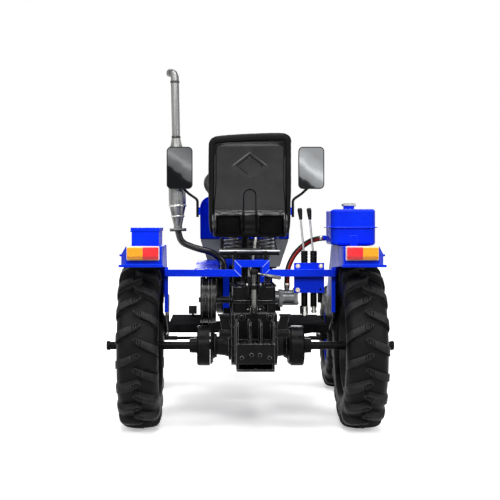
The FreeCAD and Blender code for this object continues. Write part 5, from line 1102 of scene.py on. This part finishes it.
def all_hardware() -> list[Hardware]:
    """List the tractor's visible bolts and nuts.

    Returns:
        One set for each body and finish.
    """
    back, up = (0, -1, 0), (0, 0, 1)
    plate = Hardware("valve_plate_screws", "frame", "lever_steel", "yellow_zinc", "tube_frames")
    plate.row([(219, 46, 727), (324, 46, 727), (218, 46, 618)], back, 10, round_head=True)
    case = Hardware("case_bolts", "frame", "casting_grey", "painted_casting", "gearbox_case")
    case.row([(x, -118, 581) for x in (-78, -30, 54, 102)], up, 12)
    case.row([(x, y, 581) for x in (-79, 107) for y in (-60, 20, 100, 170)], up, 12)
    case.row([(x, -188, z) for x in (-81, 105) for z in (345, 385, 425, 465)], back, 8)
    hitch = Hardware("hitch_bolts", "frame", "casting_grey", "rubbed_highlit_casting", "hitch_box")
    hitch.row([(-43, -200, 515), (79, -200, 515)], back, 17)
    plate.row([(-200, 30, 712)], up, 9).row([(-200, 30, 680)], (0, 0, -1), 9, nut=True)
    pump = Hardware("pump_bolts", "frame", "lever_steel", "zinc_plate", "hydraulic_pump")
    pump.row([(220, 100 + y, 581 + z) for y in (-24, 24) for z in (-24, 24)], (1, 0, 0), 8)
    lamps = Hardware("lamp_screws", "frame", "lever_steel", "zinc_plate", "lamp_bases")
    lamps.row([(side * x, -310, 793) for side in (-1, 1) for x in (412, 532)], back, 4, round_head=True)
    return [plate, case, hitch, pump, lamps]


@dataclass
class TopLink:
    """Hitch screw: capped spindle between two cheeks over a bright tube, with its crank."""

    x: float = 8.0
    y: float = -232.0

    def build(self, palette: Palette) -> None:
        """Model the link.

        Args:
            palette: The tractor's materials.
        """
        mesh = bmesh.new()
        up = Vector((0, 0, 1))
        x, y = self.x, self.y
        turned_piece(mesh, [(0, 0), (0, 0.0125), (0.003, 0.0145), (0.103, 0.0145), (0.106, 0.012), (0.106, 0)],
                     at(x, y, 552), up, 1, 32)
        turned_piece(mesh, [(0, 0), (0, 0.0175), (0.012, 0.0185), (0.016, 0.0185), (0.018, 0.0165), (0.018, 0)],
                     at(x, y, 636), up, 0, 32)
        turned_piece(mesh, [(0, 0), (0, 0.011), (0.05, 0.011), (0.05, 0)], at(x, y, 652), up, 1)
        turned_piece(mesh, [(0, 0), (0, 0.0185), (0.008, 0.019), (0.016, 0.0175), (0.022, 0.013), (0.024, 0.008),
                            (0.024, 0)], at(x, y, 700), up, 0, 32)
        for side in (-1, 1):
            self.slab(mesh, (x + side * 22.5, y, 655), (7, 27, 74), 0.004)
            self.slab(mesh, (x + side * 19, -170, 624), (6, 96, 26), 0.003)
            self.slab(mesh, (x + side * 20, y, 557), (6, 22, 42), 0.003)
            turned_piece(mesh, [(0, 0), (0, 0.0085), (0.006, 0.0085), (0.0075, 0.007), (0.0075, 0)],
                         at(x + side * 26, y, 655), Vector((side, 0, 0)), 1, 24)
        turned_piece(mesh, [(0, 0), (0, 0.005), (0.06, 0.005), (0.06, 0)], at(x - 30, y, 549), Vector((1, 0, 0)), 1)
        self.slab(mesh, (x, -127, 612), (60, 8, 40), 0.002)
        start, end = at(x + 6, y, 706), at(x + 120, y, 684)
        turned_piece(mesh, [(0, 0), (0, 0.005), (0.046, 0.0052), (0.056, 0.0075), (0.104, 0.0085), (0.112, 0.007),
                            (0.115, 0)], start, end - start, 1, 24)
        piece = new_piece("hitch_link", mesh, "frame", "machined_steel")
        palette.dress(piece, "painted_casting", "bright_spindle")
        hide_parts("hitch_adjuster")

    def slab(self, mesh: bmesh.types.BMesh, centre: tuple[float, float, float], size: tuple[float, float, float],
             round_mm: float) -> None:
        """Add a block with rounded edges.

        Args:
            mesh: Bmesh that takes the block.
            centre: Its middle in millimetres, with Y from the rear axle.
            size: Its size in millimetres.
            round_mm: Radius of its edges in metres.
        """
        block = bmesh.ops.create_cube(mesh, size=1.0, matrix=Matrix.Translation(at(*centre))
                                      @ Matrix.Diagonal((*(v * MM for v in size), 1.0)))["verts"]
        edges = list({e for v in block for e in v.link_edges})
        bmesh.ops.bevel(mesh, geom=edges, offset=round_mm * 0.5, offset_type="OFFSET", affect="EDGES", segments=2,
                        profile=0.5, material=-1)


@dataclass
class BrakePlates:
    """Fixed anchor plates that close the inner side of the brake drums, with a ring of six bolt heads."""

    line: tuple[tuple[float, float], ...] = (
        (150, 0), (150, 52), (164, 56), (168, 70), (172, 82), (179, 84), (180.5, 82), (180.5, 0))

    def build(self, palette: Palette) -> None:
        """Model both plates."""
        mesh = bmesh.new()
        for side in (-1, 1):
            turned_piece(mesh, [(x * MM, r * MM) for x, r in self.line], at(0, 0, 370), Vector((side, 0, 0)), 0, 48)
            for angle in range(0, 360, 60):
                turn = math.radians(angle + 20)
                turned_piece(mesh, [(0, 0), (0, 0.006), (0.005, 0.006), (0.006, 0.0045), (0.006, 0)],
                             at(side * 172, 70 * math.cos(turn), 370 + 70 * math.sin(turn)),
                             Vector((-side, 0, 0)), 0, 6)
        piece = new_piece("brake_plates", mesh, "frame", "casting_grey")
        palette.dress(piece, "painted_casting")


@dataclass
class HoodLouvres:
    """Two groups of pressed louvres on each side of the hood."""

    starts: tuple[float, ...] = (1105, 1300)
    length: float = 160.0
    low: float = 806.0
    pitch: float = 24.0
    count: int = 5

    def build(self, palette: Palette, surfaces: Surfaces) -> None:
        """Press the louvres out of the hood's sides.

        Args:
            palette: The tractor's materials.
            surfaces: Skins of the solid model.
        """
        mesh = bmesh.new()
        steps = 20
        swell = [math.sqrt(max(0.02, 1 - (2 * k / steps - 1) ** 8)) for k in range(steps + 1)]
        for side in (-1, 1):
            out = Vector((side, 0, 0))
            for start in self.starts:
                for i in range(self.count):
                    z = self.low + i * self.pitch
                    points = [surfaces.land("hood", at(side * 200, start + self.length * k / steps, z), out)
                              for k in range(steps + 1)]
                    tube(mesh, [p - out * 0.001 for p in points], [(0.006 * w, 0.0065 * w) for w in swell], out, 12)
                    # Under each louvre a thin near-black strip stands for its slot: painted shade in the opening.
                    tube(mesh, [p + Vector((0, 0, -0.0062)) for p in points],
                         [(0.0018 * w, 0.0028 * w) for w in swell], out, 8, finish=1)
        piece = new_piece("hood_louvres", mesh, "hood", "paint_blue")
        palette.dress(piece, "blue_enamel", "radiator_paint")


@dataclass
class DashMat:
    """Quilted black rubber mat laid on the firewall."""

    left: float = -125.0
    right: tuple[float, float] = (122.0, 160.0)    # at the foot and at the top
    heights: tuple[float, float] = (700.0, 866.0)
    quilt: float = 26.0
    sheet: float = 0.002

    def build(self, palette: Palette) -> None:
        """Press the mat's squares and close its rim on the wall.

        Args:
            palette: The tractor's materials.
        """
        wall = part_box("firewall")[0][1] - 0.0004
        mesh = bmesh.new()
        bmesh.ops.create_grid(mesh, x_segments=110, y_segments=66, size=1.0)

        def place(p: Vector) -> Vector:
            across, up = (p.x + 1) / 2, (p.y + 1) / 2
            right = self.right[0] + (self.right[1] - self.right[0]) * up
            x = self.left + (right - self.left) * across
            z = self.heights[0] + (self.heights[1] - self.heights[0]) * up
            square = abs(math.sin(math.pi * x / self.quilt) * math.sin(math.pi * z / self.quilt))
            rise = smooth((1 - max(abs(p.x), abs(p.y))) / 0.05) * (0.003 + 0.004 * square ** 0.5)
            return Vector((x * MM, wall - rise, z * MM))

        moved(mesh, place, mesh.verts)
        mat = new_piece("dash_mat", mesh, "frame", "shell_black")
        skin = mat.modifiers.new("Sheet", "SOLIDIFY")
        skin.thickness = self.sheet
        skin.offset = 1.0
        palette.dress(mat, "extruded_rubber")


@dataclass
class HeadlampBezels:
    """Chromed rings round the headlamps."""

    def build(self, palette: Palette) -> None:
        """Spin a ring about each lamp."""
        low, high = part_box("headlamps")
        radius = (high.z - low.z) / 2
        mesh = bmesh.new()
        for side in (-1, 1):
            middle = Vector((side * (high.x - radius), high.y - 0.02, (low.z + high.z) / 2))
            line = [(0, radius - 0.004), (0, radius + 0.003), (0.006, radius + 0.0035), (0.011, radius + 0.001),
                    (0.012, radius - 0.003), (0.009, radius - 0.006), (0, radius - 0.004)]
            turned_piece(mesh, line, middle, Vector((0, 1, 0)), 0, 48)
        piece = new_piece("headlamp_bezels", mesh, "frame", "lamp_glass")
        palette.dress(piece, "chrome")


@dataclass
class HoseClamps:
    """Worm-drive clamps at both ends of the suction hose."""

    spots: tuple[tuple[tuple[float, float, float], tuple[float, float, float]], ...] = (
        ((322, 86, 854), (1, 0, 0)), ((172, 100, 637), (0, 0, 1)))

    def build(self, palette: Palette) -> None:
        """Model each clamp as a band and its screw."""
        mesh = bmesh.new()
        for spot, heading in self.spots:
            axis = Vector(heading)
            r = 0.0127
            turned_piece(mesh, [(0, r), (0, r + 0.0012), (0.009, r + 0.0012), (0.009, r), (0, r)], at(*spot), axis,
                         0, 32)
            turned_piece(mesh, [(-0.008, 0), (-0.008, 0.0032), (0.008, 0.0032), (0.008, 0)],
                         at(*spot) + axis * 0.0045 + Vector((0, -r - 0.003, 0)),
                         Vector((axis.z, 0, axis.x)), 0, 12)
        piece = new_piece("hose_clamps", mesh, "frame", "lever_steel")
        palette.dress(piece, "zinc_plate")


@dataclass
class PulleyRims:
    """Bright crests between the grooves of the gearbox pulley."""

    crests: tuple[float, ...] = (-216, -202, -188, -174, -160)
    radius: float = 0.1

    def build(self, palette: Palette, surfaces: Surfaces) -> None:
        """Lay a polished ring on each crest.

        Args:
            palette: The tractor's materials.
            surfaces: Skins of the solid model.
        """
        mesh = bmesh.new()
        for x in self.crests:
            rim = surfaces.land("belt_pulleys", at(x, 0, 470), Vector((0, 0, -1)))
            r = at(0, 0, 570).z - rim.z
            turned_piece(mesh, [(0, r - 0.002), (0, r + 0.0005), (0.0008, r + 0.001), (0.0026, r + 0.001),
                                (0.0034, r + 0.0005), (0.0034, r - 0.002), (0, r - 0.002)],
                         at(x - 1.7, 0, 570), Vector((1, 0, 0)), 0, 64)
        piece = new_piece("pulley_rims", mesh, "frame", "machined_steel")
        palette.dress(piece, "oiled_steel")


@dataclass
class Couplers:
    """Zinc-plated screw couplers under the control valve."""

    def build(self, palette: Palette) -> None:
        """Model the couplers and their collars."""
        mesh = bmesh.new()
        for x, low in ((251, 500), (293, 512)):
            drop = (541 - low) * MM
            turned_piece(mesh, [(0, 0), (0, 0.0115), (0.006, 0.0115), (0.008, 0.0095), (drop * 0.55, 0.0095),
                                (drop * 0.6, 0.013), (drop - 0.004, 0.013), (drop - 0.002, 0.0105), (drop, 0.0105),
                                (drop, 0)], at(x, 66, 541), Vector((0, 0, -1)), 0, 6 if x == 251 else 24)
        piece = new_piece("valve_couplers", mesh, "frame", "lever_steel")
        palette.dress(piece, "zinc_plate")


@dataclass
class MufflerBands:
    """Polished bands pressed over the muffler's joints."""

    lean: float = 1.2              # degrees outward
    bands: tuple[tuple[float, float, float], ...] = ((117, 127, 46.4), (63, 71, 34.4), (474, 487, 22.4),
                                                   (763, 775, 23.4))
    smoked_from: float = 400.0     # height on the stack above which soot has dulled the bands

    def build(self, palette: Palette) -> None:
        """Model the bands round the leaning stack."""
        mesh = bmesh.new()
        turn = math.radians(self.lean)
        axis = Vector((-math.sin(turn), 0, math.cos(turn)))
        foot = at(-350.5, 820, 893)
        for low, high, radius in self.bands:
            r, length = radius * MM, (high - low) * MM
            turned_piece(mesh, [(0, r - 0.004), (0, r), (0.2 * length, r + 0.0014), (0.5 * length, r + 0.002),
                                (0.8 * length, r + 0.0014), (length, r), (length, r - 0.004), (0, r - 0.004)],
                         foot + axis * low * MM, axis, 1 if low > self.smoked_from else 0, 40)
        piece = new_piece("muffler_bands", mesh, "frame", "muffler_steel")
        palette.dress(piece, "zinc_plate", "oiled_steel")


@dataclass
class WeldSeams:
    """Weld beads on the mitred corners of the raised arch."""

    face: float = 14.0
    seams: tuple[tuple[float, float, float, float], ...] = (
        (-72, 755, -40, 723), (88, 755, 56, 723), (-72, 712, -40, 680), (88, 712, 56, 680))

    def build(self, palette: Palette) -> None:
        """Lay a wavy bead along each mitre."""
        mesh = bmesh.new()
        for x0, z0, x1, z1 in self.seams:
            ends = at(x0, self.face, z0), at(x1, self.face, z1)
            points = [ends[0].lerp(ends[1], i / 24) for i in range(25)]
            radii = [(0.0009 + 0.0003 * math.sin(i * 2.1), 0.0014 + 0.0003 * math.sin(i * 1.7)) for i in range(25)]
            tube(mesh, points, radii, Vector((0, -1, 0)), 8)
        piece = new_piece("arch_welds", mesh, "frame", "paint_blue")
        palette.dress(piece, "weld_bead_painted_highlight")


@dataclass
class Hose:
    """The suction hose from the tank to the pump, with its red line."""

    radius: float = 0.0125
    sides: int = 24
    line_sides: tuple[int, ...] = (3, 4, 5)
    route: tuple[tuple[float, float, float], ...] = (
        (336.6, 86, 854), (319, 86, 854), (274, 136, 838), (214, 136, 788), (180, 120, 726), (172, 100, 682),
        (172, 100, 633))

    def build(self, palette: Palette) -> None:
        """Model the hose as a tube along its middle.

        Args:
            palette: The tractor's materials.
        """
        points = spline_points([at(*corner) for corner in self.route])
        mesh = bmesh.new()
        tube(mesh, points, [(self.radius, self.radius)] * len(points), Vector((0, 1, 0)), self.sides,
             self.line_sides)
        piece = new_piece("suction_hose_lined", mesh, "frame", "hose_rubber")
        palette.dress(piece, "extruded_rubber", "red_rubber_line")
        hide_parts("suction_hose")
        length = sum((b - a).length for a, b in zip(points, points[1:]))
        tuple(points[0])
        [tuple(p) for p in points]


@dataclass
class Studio:
    """Camera, floor, sky and lamps."""

    eye: tuple[float, float, float] = (-0.1727, -5.878, 0.914)
    lens: float = 82.94
    shift: tuple[float, float] = (0.076, -0.05)
    floor_size: float = 60.0
    lamps: tuple[tuple[tuple[float, float, float], float, float], ...] = (
        ((-3.0, -4.6, 3.6), 2.2, 112.0), ((3.4, -4.2, 3.0), 2.0, 100.0), ((0.0, -1.4, 5.0), 3.0, 170.0),
        ((0.1, -6.4, 3.7), 2.2, 150.0), ((0.0, 5.0, 3.0), 3.0, 110.0))

    def camera(self) -> None:
        """Set the camera level behind the tractor."""
        data = bpy.data.cameras.new("camera")
        data.lens = self.lens
        data.sensor_width = 36.0
        data.shift_x, data.shift_y = self.shift
        camera = bpy.data.objects.new("camera", data)
        camera.location = self.eye
        camera.rotation_euler = (math.pi / 2, 0.0, 0.0)
        bpy.context.scene.collection.objects.link(camera)
        bpy.context.scene.camera = camera

    def floor(self) -> None:
        """Lay a pale floor that keeps the tractor's shadow."""
        mesh = bmesh.new()
        bmesh.ops.create_grid(mesh, x_segments=1, y_segments=1, size=self.floor_size / 2)
        data = bpy.data.meshes.new("floor")
        mesh.to_mesh(data)
        mesh.free()
        floor = bpy.data.objects.new("floor", data)
        bpy.context.scene.collection.objects.link(floor)
        material = bpy.data.materials.new("studio_floor")
        material.use_nodes = True
        tree = material.node_tree
        shader = tree.nodes["Principled BSDF"]
        shader.inputs["Roughness"].default_value = 0.9
        shader.inputs["Specular IOR Level"].default_value = 0.0
        shader.inputs["Emission Color"].default_value = (1.0, 1.0, 1.0, 1.0)
        path = add_node(tree, "ShaderNodeLightPath")
        seen = add_node(tree, "ShaderNodeMath", {"operation": "MAXIMUM"},
                        {0: path.outputs["Is Camera Ray"], 1: path.outputs["Is Glossy Ray"]})
        seen = add_node(tree, "ShaderNodeMath", {"operation": "MAXIMUM"},
                        {0: path.outputs["Is Transmission Ray"], 1: seen.outputs[0]})
        # White to the eye, and grey to the light that it throws back under the tractor.
        tone = add_node(tree, "ShaderNodeMix", {"data_type": "RGBA", 6: linear("505050"), 7: linear("F6F6F6")},
                        {0: seen.outputs[0]})
        tree.links.new(tone.outputs[2], shader.inputs["Base Color"])
        place = add_node(tree, "ShaderNodeTexCoord")
        away = add_node(tree, "ShaderNodeVectorMath", {"operation": "LENGTH"}, {0: place.outputs["Object"]})
        fade = add_node(tree, "ShaderNodeMapRange", {"interpolation_type": "SMOOTHSTEP", "From Min": 1.4,
                                                     "From Max": 4.0, "To Min": 0.42, "To Max": 1.0},
                        {"Value": away.outputs["Value"]})
        glow = add_node(tree, "ShaderNodeMath", {"operation": "MULTIPLY"},
                        {0: seen.outputs[0], 1: fade.outputs["Result"]})
        tree.links.new(glow.outputs[0], shader.inputs["Emission Strength"])
        data.materials.append(material)
        floor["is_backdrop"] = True

    def sky(self) -> None:
        """Make the surroundings white to the eye and in gloss, and softer as light."""
        world = bpy.data.worlds.new("studio")
        bpy.context.scene.world = world
        world.use_nodes = True
        tree = world.node_tree
        back = tree.nodes["Background"]
        back.inputs["Color"].default_value = (1.0, 1.0, 1.0, 1.0)
        path = add_node(tree, "ShaderNodeLightPath")
        seen = add_node(tree, "ShaderNodeMath", {"operation": "MAXIMUM"},
                        {0: path.outputs["Is Camera Ray"], 1: path.outputs["Is Transmission Ray"]})
        seen = add_node(tree, "ShaderNodeMath", {"operation": "MAXIMUM"},
                        {0: seen.outputs[0], 1: path.outputs["Is Glossy Ray"]})
        level = add_node(tree, "ShaderNodeMapRange", {"To Min": 0.32, "To Max": 1.0}, {"Value": seen.outputs[0]})
        tree.links.new(level.outputs["Result"], back.inputs["Strength"])

    def light(self) -> None:
        """Hang the soft boxes and aim them at the tractor."""
        target = Vector((0.0, 0.0, 0.7))
        for i, (place, size, watts) in enumerate(self.lamps):
            data = bpy.data.lights.new(f"softbox_{i}", "AREA")
            data.shape = "DISK"
            data.size = size
            data.energy = watts
            lamp = bpy.data.objects.new(data.name, data)
            lamp.location = place
            lamp.rotation_euler = (target - Vector(place)).to_track_quat("-Z", "Y").to_euler()
            bpy.context.scene.collection.objects.link(lamp)

    def build(self) -> None:
        """Set up the whole studio."""
        bpy.context.scene.view_settings.view_transform = "Standard"
        self.camera()
        self.floor()
        self.sky()
        self.light()


def corners(box: tuple[Vector, Vector]) -> list[list[float]]:
    """Give a box as plain lists of numbers."""
    return [[float(value) for value in corner] for corner in box]


def main() -> None:
    """Dress the model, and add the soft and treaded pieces."""
    logging.basicConfig(level=logging.INFO, format="%(message)s")
    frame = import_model()
    solid_box = corners(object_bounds())
    Studio().build()
    palette = Palette()
    Hose().build(palette)
    palette.dress_frame(frame["nodes"])
    for side in ("left", "right"):
        Tyre(f"rear_tyre_{side}", f"rear_{side}", 18, 0.026, 0.029, 0.062, 0.203).build(palette)
        Tyre(f"front_tyre_{side}", f"front_{side}", 18, 0.017, 0.021, 0.046, 0.1525).build(palette)
    Seat().build(palette, frame["nodes"])
    SeatShell().build(palette)
    SeatRoll().build(palette)
    MufflerBands().build(palette)
    TopLink().build(palette)
    WeldSeams().build(palette)
    surfaces = Surfaces(frame["nodes"])
    HandLevers().build(palette)
    BrakePlates().build(palette)
    PulleyRims().build(palette, surfaces)
    DashMat().build(palette)
    Couplers().build(palette)
    HoodLouvres().build(palette, surfaces)
    HeadlampBezels().build(palette)
    HoseClamps().build(palette)
    for hardware in all_hardware():
        hardware.build(palette, surfaces)
    {"solid": solid_box, "visual": corners(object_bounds())}


if __name__ == "__main__":
    main()
